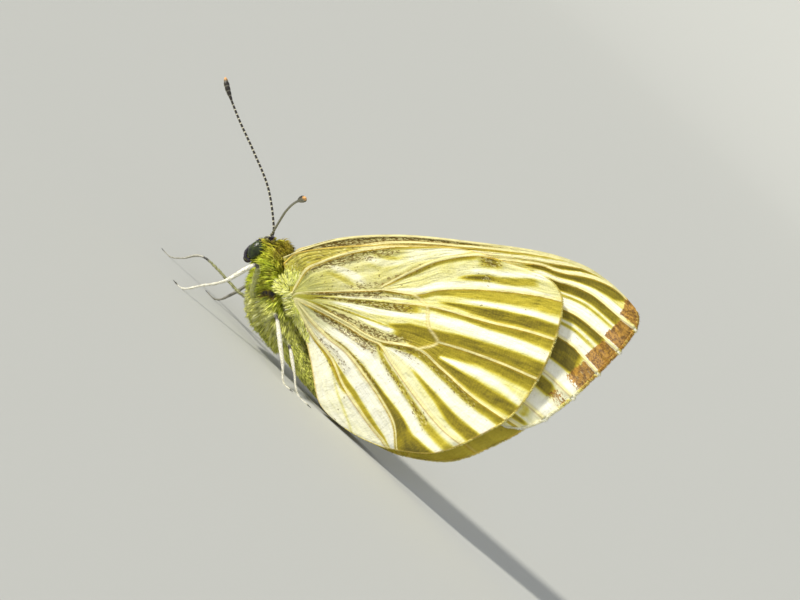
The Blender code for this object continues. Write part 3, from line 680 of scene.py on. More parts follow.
def foldHeight(wing, strip, share, away):
    # across a strip the membrane climbs where it is pale and falls where it is dark, and is back to level
    # at the next vein: the running sum of mean tone less tone, looked up in a table
    radii = np.linspace(0, wingHold["foldReach"], wingHold["foldRings"])
    shares = np.linspace(0, 1, wingHold["foldSteps"])
    grid = np.meshgrid(np.arange(len(wing["lines"])), radii, shares, indexing="ij")
    tone = stripTone(wing, grid[0], grid[2], grid[1])
    height = np.cumsum(tone.mean(-1, keepdims=True) - tone, -1) / len(shares)
    ring, part = away / radii[1], share * (len(shares) - 1)
    ringAt, partAt = ring.astype(int), np.minimum(part.astype(int), len(shares) - 2)
    ring, part = ring - ringAt, part - partAt
    near, far = ((1 - part) * height[strip, at, partAt] + part * height[strip, at, partAt + 1]
                 for at in (ringAt, ringAt + 1))
    return (1 - ring) * near + ring * far


def wingMarks(wing, x, z, edge, toTermen):
    # everything the finish reads about a place on the wing
    away, strip, share, width = wingPhase(wing, x, z)
    starts = np.array([line["vein"] for line in wing["lines"]])
    nearest = np.where(share < 0.5, strip, strip + 1)
    vein = smoothStep(-0.3, 0.3, away - starts[nearest])
    gap = np.minimum(share, 1 - share) * width
    tone = stripTone(wing, strip, share, away)
    narrow = smoothStep(*wingHold["narrow"], width) * wingHold["narrowShare"]
    tone = tone + (wingHold["narrowTone"] - tone) * narrow
    dust, patch = np.zeros_like(x), np.zeros_like(x)
    for number, low, high, start, stop, strength in wing["dusts"]:
        block = window(share, low, high, wingHold["dustSoft"])
        block = block * window(away, start, stop, wingHold["dustEnd"])
        dust = np.maximum(dust, strength * block * (strip == number))
    for number, strength, low, high in wing["patches"]:
        block = window(share, low, high, wingHold["patchSoft"])
        patch = np.maximum(patch, strength * block * (strip == number))
    if wing["patches"]:
        inside = wing["patchDepth"] + wing["patchSlant"] * (share - 0.5) - toTermen
        patch = patch * smoothStep(*wingHold["patchEnd"], inside)
        tone = tone + (wingHold["patchTone"] - tone) * patch * smoothStep(*wingHold["patchWhite"], gap)
        patch = patch * smoothStep(*wingHold["patchGap"], gap)
    knots = smoothLine(wing["cross"], 90)
    cross = np.min(np.hypot(x[..., None] - knots[:, 0], z[..., None] - knots[:, 1]), axis=-1)
    cross = np.exp(-((cross / wingHold["crossWidth"]) ** 2))
    return {"phase": strip + share, "width": width, "vein": vein, "tone": tone, "dust": dust,
            "reach": away, "edge": edge, "patch": patch, "cross": cross, "gap": gap}


def wingSurface(wing, side, reach):
    # the membrane: a patch between its edges, folded like a fan, with veins standing on it as ribs
    edges = {key: smoothLine(wing[key]) for key in ("hinge", "costa", "termen", "inner")}
    length = np.linalg.norm(wing["termen"][0] - np.array(wing["hinge"][0]))
    a = np.linspace(*wingHold["across"], wing["columns"])
    b = np.linspace(0, 1 - wing["inset"] / length, wing["rows"])
    x, z = np.moveaxis(coons(edges, a, b), -1, 0)
    down = np.hypot(np.diff(x, axis=0), np.diff(z, axis=0))
    toTermen = np.vstack([np.cumsum(down[::-1], 0)[::-1], np.zeros((1, len(a)))])
    across = np.hypot(np.diff(x, axis=1), np.diff(z, axis=1))
    fromCosta = np.hstack([np.zeros((len(b), 1)), np.cumsum(across, 1)])
    edge = np.minimum(toTermen, np.minimum(fromCosta, fromCosta[:, -1:] - fromCosta))
    marks = wingMarks(wing, x, z, edge, toTermen)

    # how far the folds and the ribs stand out: a rib is a bell curve beside its vein
    phase, width = marks["phase"], marks["width"]
    strip = np.minimum(phase.astype(int), len(wing["lines"]) - 2)
    fold = foldHeight(wing, strip, phase - strip, marks["reach"]) * wing["slope"]
    fold = fold * wingHold["wide"] * np.tanh(width / wingHold["wide"])
    fold = fold * smoothStep(*wingHold["foldFrom"], marks["reach"])
    rib = np.exp(-(((marks["gap"] - wingHold["ridgeAt"]) / wingHold["ridgeWidth"]) ** 2))
    rib = np.maximum(rib * marks["vein"] * smoothStep(*wingHold["ridgeRoom"], width), marks["cross"])
    rib = wingHold["ridgeHeight"] * rib

    # each place stands out from the middle plane by its layer, and near the body by the body's half width
    x = wingHold["hingeX"] + reach * (x - wingHold["hingeX"])
    z = wingHold["lift"] + (np.hypot(z, wingHold["flex"]) + z) / 2
    body = smoothLine(wing["spread"], 60)
    apart = np.hypot(x[..., None] - body[:, 0], z[..., None] - body[:, 1])
    nearest = apart.min(-1)
    weight = np.exp(-(apart ** 2 - nearest[..., None] ** 2) / wingHold["blend"] ** 2)
    beside = (weight * body[:, 2]).sum(-1) / weight.sum(-1)
    y = wing["layer"] + (beside - wing["layer"]) * np.exp(-((nearest / wingHold["spreadReach"]) ** 2))
    middle = np.stack([x, side * y, z], -1)
    out = unit(np.cross(np.gradient(middle, axis=1), np.gradient(middle, axis=0)))
    out = out * np.sign(out[..., 1:2] * side)
    rim, inner = wingHold["rimWall"], wing["membrane"] / 2
    wall = rim + (inner - rim) * smoothStep(0, wingHold["rimReach"], edge)
    front = middle + out * (fold + wall + rib)[..., None]
    back = middle + out * (fold - wall - rib)[..., None]
    return front, back, marks, middle, out


def fringeHairs(wing, marks, middle, out):
    # hairs along the outer margin point on outwards; they are longer and white where a vein ends
    fringe = wing["fringe"]
    count = fringe["count"]
    share = np.sort(chance.uniform(0.01, 0.99, count))
    rim, inner, face = along(middle[-1], share), along(middle[-4], share), along(out[-1], share)
    gap, patch = (np.interp(share, np.linspace(0, 1, len(middle[-1])), marks[key][-1])
                  for key in ("gap", "patch"))
    vein = np.exp(-((gap / fringe["white"]) ** 2))
    stray = wingHold["hairStray"] * chance.normal(size=(count, 3)) * (1 - 0.5 * vein[:, None])
    way = unit(unit(rim - inner) + stray)
    length = fringe["length"] + (fringe["tuft"] - fringe["length"]) * vein
    length = length * chance.uniform(0.75, 1.15, count)
    spread = chance.uniform(-wingHold["hairLayer"], wingHold["hairLayer"], count)
    root = rim - way * wingHold["hairRoot"] + face * spread[:, None]
    bend = face * chance.normal(0, wingHold["hairBend"], count)[:, None]
    points, faces = blades(root, way, bend, length, wingHold["hairWidth"])
    tone = (fringe["dark"] + fringe["patch"] * patch) * (1 - vein)
    tone = fringe["tone"] + tone * chance.uniform(0.5, 1.1, count)
    return points, faces, np.repeat(tone, hairPoints), hairUnwrap(share, np.full(count, 0.97))


def fringeMaterial(paint):
    # Hair scales on the wing's rim: the wing's own colours, matt, brown between the veins of the front pair
    made, tree, value = newMaterial("rimHairScales", "place", "tone")
    grain = add(tree, "TexNoise", {"Vector": value["place"], "Scale": 1 / (0.1 * mm), "Detail": 2})
    tone = add(tree, "Math", [grain, 0.2, value["tone"]], operation="MULTIPLY_ADD")
    white, cream = paint["tones"][0][1], paint["tones"][2][1]
    shade = add(tree, "ValToRGB", [tone],
                ramp=[(0.2, white), (0.45, cream), (0.65, paint["brown"]), (1.0, paint["brownDark"])])
    surface(tree, shade, 0.6)
    return made


rimScales = fringeMaterial(wingPaint)
wingFinish = {"hindwing": wingMaterial("creamWingScales", {**wingPaint, **hindwing["paint"]}),
              "forewing": wingMaterial("stripedWingScales", {**wingPaint, **forewing["paint"]})}
wingFaces = {}
for name, wing, side, reach in (
    ("hindwing_left", hindwing, left, 1.0), ("forewing_left", forewing, left, 1.0),
    ("hindwing_right", hindwing, right, wingHold["rightReach"]), ("forewing_right", forewing, right, 1.0),
):
    kind = name.split("_")[0]
    front, back, marks, middle, out = wingSurface(wing, side, reach)
    hairs, hairFaces, tone, unwrap = fringeHairs(wing, marks, middle, out)
    del marks["gap"]
    wingFaces[name] = front, out
    marks = {key: np.tile(value.ravel(), 2) for key, value in marks.items()}
    marks["outer"] = np.repeat([1.0, 0.0], front[..., 0].size)
    made = makePiece(name.replace("_", "") + "Membrane", *closeSheet(front, back), wingFinish[kind], marks)
    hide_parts(name)
    made = makePiece(name.replace("_", "") + "Fringe", hairs, hairFaces, rimScales, {"tone": tone}, unwrap)
print("wings built")

# The whole animal wears one coat of hair scales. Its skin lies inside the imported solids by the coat's depth.
coat = {
    "depth": [(0.8, 0.1), (1.7, 0.16), (2.2, 0.45), (3.0, 0.55), (6.0, 0.5), (7.2, 0.28), (14.8, 0.12)],
    "headWaist": 0.36,  # half width of the head as a share of its height
    "rings": 150, "sides": 56, "span": (0.003, 0.997),  # and the share of the body that the rings cover
    "shoulder": 0.22, "blur": 0.45,  # how much narrower the back is, and how far sections are blended
    "rooted": -0.03,  # hairs start this far under the skin
    "hinge": (5.0, 2.05, 4.95),  # hairs on the thorax stream away from the wings' hinge
    # painted shadow in the gaps below the hinge: x, z and sizes
    "clefts": [(3.75, 3.5, 0.26, 0.17), (4.2, 3.82, 0.36, 0.2), (5.42, 2.95, 0.15, 0.15)],
    # tones of the flank, breast, belly, back, abdomen and face, each laid over those before it, and the S
    # curves that bound it: along x, 0, or up z, 2, from where it is none to where it is full
    "markings": [
        (0.58, []), (0.91, [(2, 3.9, 3.2)]), (0.71, [(2, 2.5, 1.4)]),
        (0.42, [(2, 5.2, 6.5), (0, 1.5, 2.0), (0, 5.5, 4.2)]),
        (0.8, [(0, 5.6, 7.5)]), (0.0, [(0, 1.62, 1.46), (2, 4.2, 4.8)]),
    ],
}
furPaint = {
    # the hair scales along the body's markings, by tone; the lime of flank, belly and abdomen is partly the
    # hairs' own pale colour and partly painted green-tinted light
    "tones": [(0.0, "#3A3442"), (0.2, "#3A3442"), (0.38, "#A58E26"), (0.62, "#A6B22E"), (0.84, "#E2E470"),
              (1.0, "#F3EE98")],
    "tint": (0.3, 1.9), "rise": (0.35, 1.5),  # darkest and brightest bunch, and the painted shade at a hair's root and painted light at its tip
    "brightest": 0.95, "grain": 0.09, "gloss": 0.5,
}


def frameSections(names):
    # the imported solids' own sections: at each x along the middle plane, its top, bottom and widest point
    found = []
    for name in names:
        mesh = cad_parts[name].data
        place = np.empty(len(mesh.vertices) * 3, np.float32)
        mesh.vertices.foreach_get("co", place)
        place = (place.reshape(-1, 3) - zero) / mm
        middle = place[np.abs(place[:, 1]) < 0.01]
        for x in np.unique(middle[:, 0].round(2)):
            z = middle[np.abs(middle[:, 0] - x) < 0.02, 2]
            wide = np.abs(place[np.abs(place[:, 0] - x) < 0.02, 1]).max()
            if z.max() - z.min() > 0.1:
                if name == "head":
                    wide = max(wide, coat["headWaist"] * (z.max() - z.min()))
                found.append((x, z.max(), z.min(), wide))
    return np.array(sorted(found))


sections = frameSections(("head", "thorax", "abdomen"))
coatLine = np.array(coat["depth"])


def bodyPoint(s, turn, outset=0.0):
    # egg-shaped sections blended along the body, drawn in by the coat's depth; s runs from 0 at the face to 1
    x = sections[0, 0] + s * (sections[-1, 0] - sections[0, 0])
    reach = np.linspace(-1, 1, 9)
    weight = np.exp(-2 * reach ** 2) / np.exp(-2 * reach ** 2).sum()
    top, bottom, wide = (
        sum(w * np.interp(x + coat["blur"] * r, sections[:, 0], sections[:, k])
            for r, w in zip(reach, weight))
        for k in (1, 2, 3)
    )
    depth = np.interp(x, coatLine[:, 0], coatLine[:, 1]) - outset
    ends = np.sqrt(np.clip(1 - ((2 * s - 1) ** 2) ** 9, 0, 1))  # rounds off the face and the tail
    high = np.sin(turn)
    tall = np.maximum((top - bottom) / 2 - depth, 0.05) * ends
    y = np.maximum(wide - depth, 0.05) * ends * np.cos(turn) * (1 - coat["shoulder"] * high)
    return np.stack([x + 0 * turn, y, (top + bottom) / 2 + tall * high], -1)


def shadeGapAt(place):
    # 1 in each gap below the hinge, where shadow is painted dark, fading as a bell curve
    x, z = place[..., 0], place[..., 2]
    return sum(np.exp(-((x - a) / wide) ** 2 - ((z - b) / high) ** 2) for a, b, wide, high in coat["clefts"])


def furTone(place):
    # each marking is blended over those before it by the product of its S curves
    tone = np.zeros(place.shape[:-1])
    for shade, curves in coat["markings"]:
        inside = 1.0
        for axis, start, stop in curves:
            inside = inside * smoothStep(start, stop, place[..., axis])
        tone = tone + (shade - tone) * inside
    # the gaps below the hinge are painted dark as shadow
    return np.clip(tone * (1 - shadeGapAt(place)), 0, 1)


def furMaterial(name, paint):
    # Hair scales: fine and silky where they lie together, with painted shade towards their roots and painted
    # light at their tips
    made, tree, value = newMaterial(name, "place", "tone", "tint", "rise")
    shade = add(tree, "ValToRGB", [value["tone"]], ramp=paint["tones"])
    for key in ("tint", "rise"):
        lift = add(tree, "MapRange", [value[key], 0, 1, *paint[key]])
        shade = add(tree, "VectorMath", [shade, lift], operation="MULTIPLY")
    shade = add(tree, "VectorMath", [shade, (paint["brightest"],) * 3], operation="MINIMUM")
    grain = add(tree, "TexNoise", {"Vector": value["place"], "Scale": 1 / (paint["grain"] * mm), "Detail": 2})
    surface(tree, shade, paint["gloss"], bumps=[(grain, 0.5, 0.02)])
    return made


def tufts(root, way, bend, length, width, tone, clump, size=14, foot=0.0):
    # hairs whose tips lean by clump towards that of the nearest of a few leaders, one in size; each bunch has
    # a tint of its own. foot is the least rise at a hair's root, which lightens the painted shade there
    count = len(root)
    leaders = chance.choice(count, max(count // size, 1), replace=False)
    apart = (root ** 2).sum(1)[:, None] - 2 * root @ root[leaders].T + (root[leaders] ** 2).sum(1)
    nearest = apart.argmin(1)
    tips = root + way * length[:, None] + bend
    bend = bend + clump * (tips[leaders][nearest] - tips)
    points, faces = blades(root, way, bend, length, width)
    shift = chance.normal(0, 1, len(leaders))[nearest]
    tint = np.clip(0.5 + 0.14 * shift + 0.2 * chance.normal(size=count), 0, 1)
    # rise runs from root to tip, and the finish paints shade at the root and light at the tip by it
    rise = np.append(np.repeat(hairAt, 3), 1)
    marks = {"tone": np.repeat(np.clip(tone + 0.03 * shift, 0, 1), hairPoints),
             "tint": np.repeat(tint, hairPoints), "rise": np.tile(np.maximum(rise, foot), count)}
    return points, faces, marks


furCoat = furMaterial("silkyHairScales", furPaint)
s = np.linspace(*coat["span"], coat["rings"])
turn = np.linspace(0, 2 * np.pi, coat["sides"], endpoint=False)
skin = bodyPoint(s[:, None], turn[None])
points, faces = closeRings(skin, bodyPoint(0.0, np.array(0.0)), bodyPoint(1.0, np.array(0.0)))
# the skin under the hairs is painted dark with a low tint and rise, as shade deep in the coat
made = makePiece("bodySkin", points, faces, furCoat, {
    "tone": furTone(points), "tint": np.full(len(points), 0.3), "rise": np.full(len(points), 0.1),
}, tubeUnwrap(s, coat["sides"]))
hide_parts("head", "thorax", "abdomen")


def bodyFur(name, fur):
    # hairs rooted evenly over part of the skin. Their lie mixes three ways along the skin: back, down and
    # away from the hinge; lift raises them off it and bend draws their tips down again
    tries = fur["count"] * 4
    s = chance.uniform(*fur["along"], tries)
    turn = chance.uniform(*np.radians(fur["turn"]), tries)
    root = bodyPoint(s, turn, coat["rooted"])
    nudge = 1e-3
    back = bodyPoint(s + nudge, turn) - bodyPoint(s, turn)
    across = bodyPoint(s, turn + nudge) - bodyPoint(s, turn)
    area = np.linalg.norm(np.cross(back, across), axis=1)
    kept = chance.uniform(0, np.quantile(area, 0.98), tries) < area
    s, turn, root, back, across = (value[kept][:fur["count"]] for value in (s, turn, root, back, across))
    out = unit(np.cross(across, back))
    out = out * np.sign((out * (root - bodyPoint(s, turn, -0.2))).sum(1, keepdims=True))
    count = len(root)
    hinge = np.array(coat["hinge"]) * np.stack([np.ones(count), np.sign(root[:, 1]), np.ones(count)], -1)
    flat = unit(back) * fur["back"] + unit(root - hinge) * fur["away"] + np.array([0, 0, -fur["down"]])
    flat = flat + 0.01 * fur["ruffle"] * chance.normal(size=(count, 3))
    flat = unit(flat - out * (flat * out).sum(1, keepdims=True))
    lift = np.radians(fur["lift"] + chance.normal(0, fur["ruffle"], count))[:, None]
    way = unit(flat * np.cos(lift) + out * np.sin(lift))
    length = fur["length"] * chance.uniform(0.55, 1.15, count)
    for share in (0.0, 0.5, 1.0):  # short where its root, middle or tip would cover a painted shadow gap
        length = length * (1 - 0.85 * np.minimum(shadeGapAt(root + way * (length * share)[:, None]), 1))
    bend = (flat - out) * (length * fur["bend"])[:, None] + np.array([0, 0, -0.06]) * length[:, None]
    points, faces, marks = tufts(root, way, bend, length, fur["width"], furTone(root), fur["clump"])
    points[:, 2] = np.maximum(points[:, 2], 0.02)
    made = makePiece(name, points, faces, furCoat, marks, hairUnwrap(s, turn / (2 * np.pi) % 1))


# along is shares of the body's length, and turn is degrees round it from the right side, with the back at 90.
# lift is in degrees, and so is ruffle, which is how much it varies
sideFur = {"along": (0.056, 0.44), "count": 9500, "length": 0.95, "width": 0.032, "lift": 27, "ruffle": 14,
           "bend": 0.2, "back": 0, "down": 0.7, "away": 1, "clump": 0.55}
furs = {
    "furHead": {"along": (0, 0.055), "turn": (0, 360), "count": 3200, "length": 0.36, "width": 0.022,
                "lift": 52, "ruffle": 18, "bend": 0.12, "back": 1, "down": 0, "away": 0, "clump": 0.3},
    "furNape": {"along": (0.066, 0.15), "turn": (25, 155), "count": 3600, "length": 1, "width": 0.026,
                "lift": 50, "ruffle": 20, "bend": 0.12, "back": 0.9, "down": 0, "away": 0, "clump": 0.5},
    "furThoraxTop": {"along": (0.13, 0.34), "turn": (35, 145), "count": 5500, "length": 0.95,
                     "width": 0.03, "lift": 34, "ruffle": 16, "bend": 0.22, "back": 1, "down": 0.1,
                     "away": 0, "clump": 0.45},
    "furThoraxLeft": {**sideFur, "turn": (140, 272)},
    "furThoraxRight": {**sideFur, "turn": (-92, 40)},
    "furAbdomen": {"along": (0.42, 0.985), "turn": (0, 360), "count": 11500, "length": 0.45, "width": 0.028,
                   "lift": 18, "ruffle": 9, "bend": 0.08, "back": 1, "down": 0, "away": 0, "clump": 0.3},
}
for name, fur in furs.items():
    bodyFur(name, fur)

wingRoot = {
    # pale hairs radiate from the hinge over the side of the thorax
    "count": 1500, "reach": 0.95, "length": 0.62, "width": 0.026, "lift": 0.08, "layer": 2.02, "tone": 0.88,
    # foot keeps these pale hairs' painted root shade light
    "clump": 0.3, "bunch": 7, "foot": 0.6, "stray": 0.24,
    # and over the wings: how many, the sector round the hinge in degrees, how far, their length, their droop
    "overWing": [("hindwing", 700, (100, 165), 1.7, 0.42, 0.0), ("forewing", 150, (90, 165), 1.7, 0.5, 0.0),
                 ("hindwing", 1000, (-38, -26), 4.6, 0.7, 0.4)],
    "sectorSoft": (4, 4, 4, 4), "stem": 0.35, "wingLift": 0.08, "wingTone": 0.86, "wingStray": 0.3,
    # and hang in a skirt from the lower hinge line over the flank
    "skirt": 650, "skirtEnd": (6.4, 1.86, 3.95), "skirtWay": (-0.5, -0.3, -0.85), "skirtLength": 0.75,
    "skirtStray": 0.2,
}


def wingRootFur(name, side, fur):
    # roots scattered round the hinge, each hair pointing away from it and hugging the side; forward is 1
    # where it points to the head
    count = fur["count"]
    angle = chance.uniform(0, 2 * np.pi, count)
    ray = np.stack([np.cos(angle), 0 * angle, np.sin(angle)], -1)
    away = fur["reach"] * chance.uniform(0.03, 1, count) ** 0.7
    forward = smoothStep(0.2, -0.6, np.cos(angle)) * smoothStep(-1.2, -0.6, np.sin(angle))
    away = away * (0.25 + 0.75 * forward)
    root = np.array(coat["hinge"]) * [1, 0, 1] + ray * away[:, None]
    root[:, 1] = side * (fur["layer"] - 0.1 * away ** 2 - 0.22 * forward * away)
    out = np.array([0, side, 0])
    way = unit(ray + out * fur["lift"] + fur["stray"] * chance.normal(size=(count, 3)))
    length = fur["length"] * chance.uniform(0.4, 1.1, count) * (0.25 + 0.75 * forward)
    bend = -out * (0.2 + 0.25 * forward[:, None]) * length[:, None]
    parts = [(root, way, bend, length, fur["tone"] + 0.08 * chance.normal(size=count))]

    # hairs over the wings: each is rooted on the outer face, thinning out away from the hinge
    for wing, number, sector, reach, wingLength, droop in fur["overWing"]:
        face, out = wingFaces[wing + ("_left" if side < 0 else "_right")]
        face, out = face.reshape(-1, 3), out.reshape(-1, 3)
        ray = face - np.array(coat["hinge"]) * [1, side, 1]
        away = np.hypot(ray[:, 0], ray[:, 2])
        angle = np.degrees(np.arctan2(ray[:, 2], ray[:, 0]))
        weight = away * smoothStep(reach, 0.3, away) ** 1.5 * (away > fur["stem"])
        weight = weight * window(angle, *sector, fur["sectorSoft"])
        picked = chance.choice(len(face), number, p=weight / weight.sum())
        root, out, away = face[picked], out[picked], away[picked]
        flat = unit(ray[picked]) + fur["wingStray"] * chance.normal(size=root.shape) - np.array([0, 0, droop])
        flat = unit(flat - out * (flat * out).sum(1, keepdims=True))
        way = unit(flat + out * fur["wingLift"] * chance.uniform(0.3, 1.3, len(root))[:, None])
        length = wingLength * chance.uniform(0.4, 1.1, len(root)) * smoothStep(1.8 * reach, 0.8, away)
        tone = np.clip(chance.normal(fur["wingTone"], 0.1, len(root)), 0.6, 1)
        parts.append((root - out * 0.01, way, 0 * out, length, tone))

    # the skirt's roots lie along a line from the hinge
    begin, end = (np.array(place) * [1, side, 1] for place in (coat["hinge"], fur["skirtEnd"]))
    root = begin + (end - begin) * chance.uniform(0.04, 1, (fur["skirt"], 1))
    root = root + 0.05 * chance.normal(size=root.shape)
    stray = fur["skirtStray"] * chance.normal(size=root.shape)
    way = unit(np.array(fur["skirtWay"]) * [1, side, 1] + stray)
    length = fur["skirtLength"] * chance.uniform(0.4, 1.1, len(root))
    tone = np.clip(chance.normal(fur["tone"], 0.1, len(root)), 0.6, 1)
    parts.append((root, way, 0 * root, length, tone))
    root, way, bend, length, tone = (np.concatenate(value) for value in zip(*parts))
    points, faces, marks = tufts(root, way, bend, length, fur["width"], tone, fur["clump"], fur["bunch"],
                                 fur["foot"])
    unwrap = hairUnwrap(0.1 * root[:, 0], 0.1 * root[:, 2])
    made = makePiece(name, points, faces, furCoat, marks, unwrap)


wingRootFur("furWingRootLeft", left, wingRoot)
wingRootFur("furWingRootRight", right, wingRoot)
print("body and fur built")


eye = {
    "centre": (1.2, 0.6, 5.3), "radii": (0.53, 0.49, 0.75),
    "facet": 0.055,  # really 0.02, drawn coarser so that it shows
    # spacing of its dark spots, and the size of the cloud that thins them
    "spot": 0.3, "cloud": 0.6, "pale": "#3C4A1E", "dark": "#10160A",
}


def eyeMaterial(paint):
    # A compound eye: a dome of clear chitin lenses, glossy, green with dark spots
    made, tree, value = newMaterial("facetedEye", "place")
    cells, spots = (
        add(tree, "TexVoronoi", {"Vector": value["place"], "Scale": 1 / (size * mm)}, feature=feature)
        for size, feature in ((paint["facet"], "SMOOTH_F1"), (paint["spot"], "F1"))
    )
    spots = add(tree, "MapRange", [spots, 0.15, 0.5])
    cloud = add(tree, "TexNoise", {"Vector": value["place"], "Scale": 1 / (paint["cloud"] * mm), "Detail": 2})
    spots = add(tree, "Math", [spots, cloud], operation="MULTIPLY")
    shade = {mixFactor: spots, mixA: colour(paint["dark"]), mixB: colour(paint["pale"])}
    lens = add(tree, "Math", [1, cells], operation="SUBTRACT")
    surface(tree, add(tree, "Mix", shade, data_type="RGBA"), 0.3, bumps=[(lens, 0.5, 0.02)])
    return made


def dome(centre, radii, rings=40, sides=64):
    # an ellipsoid: circles across it whose size follows the cosine of the angle from its middle
    angle = np.linspace(-np.pi / 2 + 0.02, np.pi / 2 - 0.02, rings)
    turn = np.linspace(0, 2 * np.pi, sides, endpoint=False)
    x = np.cos(angle)[:, None] * np.cos(turn) * radii[0]
    y = np.sin(angle)[:, None] * radii[1] + 0 * turn
    z = np.cos(angle)[:, None] * np.sin(turn) * radii[2]
    ends = np.array(centre) - [0, radii[1], 0], np.array(centre) + [0, radii[1], 0]
    return closeRings(np.stack([x, y, z], -1) + centre, *ends)


facets = eyeMaterial(eye)
for side, sideName in ((left, "left"), (right, "right")):
    x, y, z = eye["centre"]
    points, faces = dome((x, side * y, z), eye["radii"])
    made = makePiece("eye" + sideName.title(), points, faces, facets)
    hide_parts("eye_" + sideName)

tongue = {
    # the coil's centre as (x, z), where it leaves the face, its outer and inner radius, and its first angle
    "centre": (1.16, 4.36), "root": (1.25, 0, 4.85), "reach": (0.3, 0.08), "turns": 2.6, "start": 75,
    "thick": (0.05, 0.0275), "flat": 1.7, "shade": "#120D0C", "pale": "#2C1E1A", "grain": 0.08,
}


def hornMaterial(paint):
    # Bare horn-like chitin, grainy, with a dull gloss
    made, tree, value = newMaterial("brownHorn", "place")
    grain = add(tree, "TexNoise", {"Vector": value["place"], "Scale": 1 / (paint["grain"] * mm), "Detail": 3})
    shade = add(tree, "ValToRGB", [grain], ramp=[(0.35, paint["shade"]), (0.7, paint["pale"])])
    surface(tree, shade, 0.4, 1.54, [(grain, 0.4, 0.015)])
    return made


# a coil: its distance from the centre shrinks evenly as it turns, from under the face inwards
radius = np.linspace(*tongue["reach"], 150)
angle = np.radians(tongue["start"]) + np.linspace(0, 2 * np.pi * tongue["turns"], 150)
coil = np.stack([radius * np.cos(angle), 0 * angle, radius * np.sin(angle)], -1)
coil = coil + np.array([tongue["centre"][0], 0, tongue["centre"][1]])
coil = np.vstack([[tongue["root"]], coil])
thick = np.linspace(*tongue["thick"], len(coil))
points, faces = tube(coil, np.stack([thick * tongue["flat"], thick], -1), 12, (0.001, 1, 0.001))
made = makePiece("tongueCoil", points, faces, hornMaterial(tongue))
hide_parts("proboscis")

feeler = {
    # radii of shaft and club, and how far from the tip, as shares of the length, the club begins, is full
    # and is rounded off
    "shaft": 0.085, "club": 0.27, "clubFrom": 0.15, "clubFull": 0.0525, "tipShare": 0.0375, "sides": 16,
    "flat": 0.25,  # how much flatter the club is than round
    "joint": 0.36, "pinch": 0.12,  # one joint's length, and how much its ends are pinched
    "black": "#26211C", "ring": "#DAD5BC", "tip": "#E0A765", "belly": "#8D8B74", "grain": 0.06,
    "left": [
        (1.3, -0.3, 6.3), (1.22, -0.6, 7.05), (1.1, -2.8, 8.25), (1.05, -5.5, 9.45),
        (1.2, -8.3, 10.6), (1.6, -10.5, 11.65),
    ],
    "right": [
        (1.3, 0.3, 6.3), (1.1, 0.4, 7.1), (-1.18, 0.8, 8.94), (-3.74, 1.3, 10.1),
        (-6.18, 1.8, 11.05), (-8.07, 2.1, 11.95), (-9.0, 2.3, 12.55),
    ],
}


def feelerMaterial(paint):
    # Jointed chitin dusted with scales: black, with a pale ring at each joint, and a horn-coloured club tip
    made, tree, value = newMaterial("ringedFeeler", "place", "run", "tip", "under")
    grain = add(tree, "TexNoise", {"Vector": value["place"], "Scale": 1 / (paint["grain"] * mm), "Detail": 3})
    wobble = add(tree, "MapRange", [grain, 0, 1, -0.25, 0.25])
    ring = add(tree, "Math", [value["run"], paint["joint"]], operation="DIVIDE")
    ring = add(tree, "Math", [ring], operation="FRACT")
    ring = add(tree, "Math", [ring, wobble], operation="ADD")
    ring = add(tree, "MapRange", [ring, 0.28, 0.16], interpolation_type="SMOOTHSTEP")
    fade = add(tree, "MapRange", [value["tip"], 0.86, 0.8, 0.2])
    ring = add(tree, "Math", [ring, fade], operation="MULTIPLY")
    # paler on its underside
    paleUnderside = add(tree, "Math", [value["under"], wobble], operation="ADD")
    paleUnderside = add(tree, "MapRange", [paleUnderside, 0.4, 0.9, 0, 0.75])
    tip = add(tree, "MapRange", [value["tip"], 0.975, 0.992])
    shade = colour(paint["black"])
    for amount, key in ((paleUnderside, "belly"), (ring, "ring"), (tip, "tip")):
        inputs = {mixFactor: amount, mixA: shade, mixB: colour(paint[key])}
        shade = add(tree, "Mix", inputs, data_type="RGBA")
    surface(tree, shade, 0.5, bumps=[(grain, 0.4, 0.015)])
    return made


ringed = feelerMaterial(feeler)
for sideName in ("left", "right"):
    # the shaft swells to a club, is pinched at each joint, and its tip is rounded off
    line = smoothLine(feeler[sideName], 220)
    length = np.linalg.norm(np.diff(line, axis=0), axis=1).sum()
    t = np.linspace(0, 1, len(line))
    sides = feeler["sides"]
    swell = smoothStep(1 - feeler["clubFrom"], 1 - feeler["clubFull"], t)
    pinch = 1 - feeler["pinch"] * np.abs(np.cos(np.pi * t * length / feeler["joint"])) ** 6
    radii = (feeler["shaft"] + (feeler["club"] - feeler["shaft"]) * swell) * pinch
    radii = radii * np.sqrt(np.clip((1 - t) / feeler["tipShare"], 0.002, 1))
    points, faces = tube(line, np.stack([radii, radii * (1 - feeler["flat"] * swell)], -1), sides, (0, 0, 1))
    under = np.clip(-np.sin(np.linspace(0, 2 * np.pi, sides, endpoint=False)), 0, 1)
    made = makePiece("feeler" + sideName.title(), points, faces, ringed, {
        "run": ringValues(t * length, sides, 0, length), "tip": ringValues(t, sides, 0, 1),
        "under": np.r_[np.tile(under, len(line)), 0, 0],
    })
    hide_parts("antenna_" + sideName)

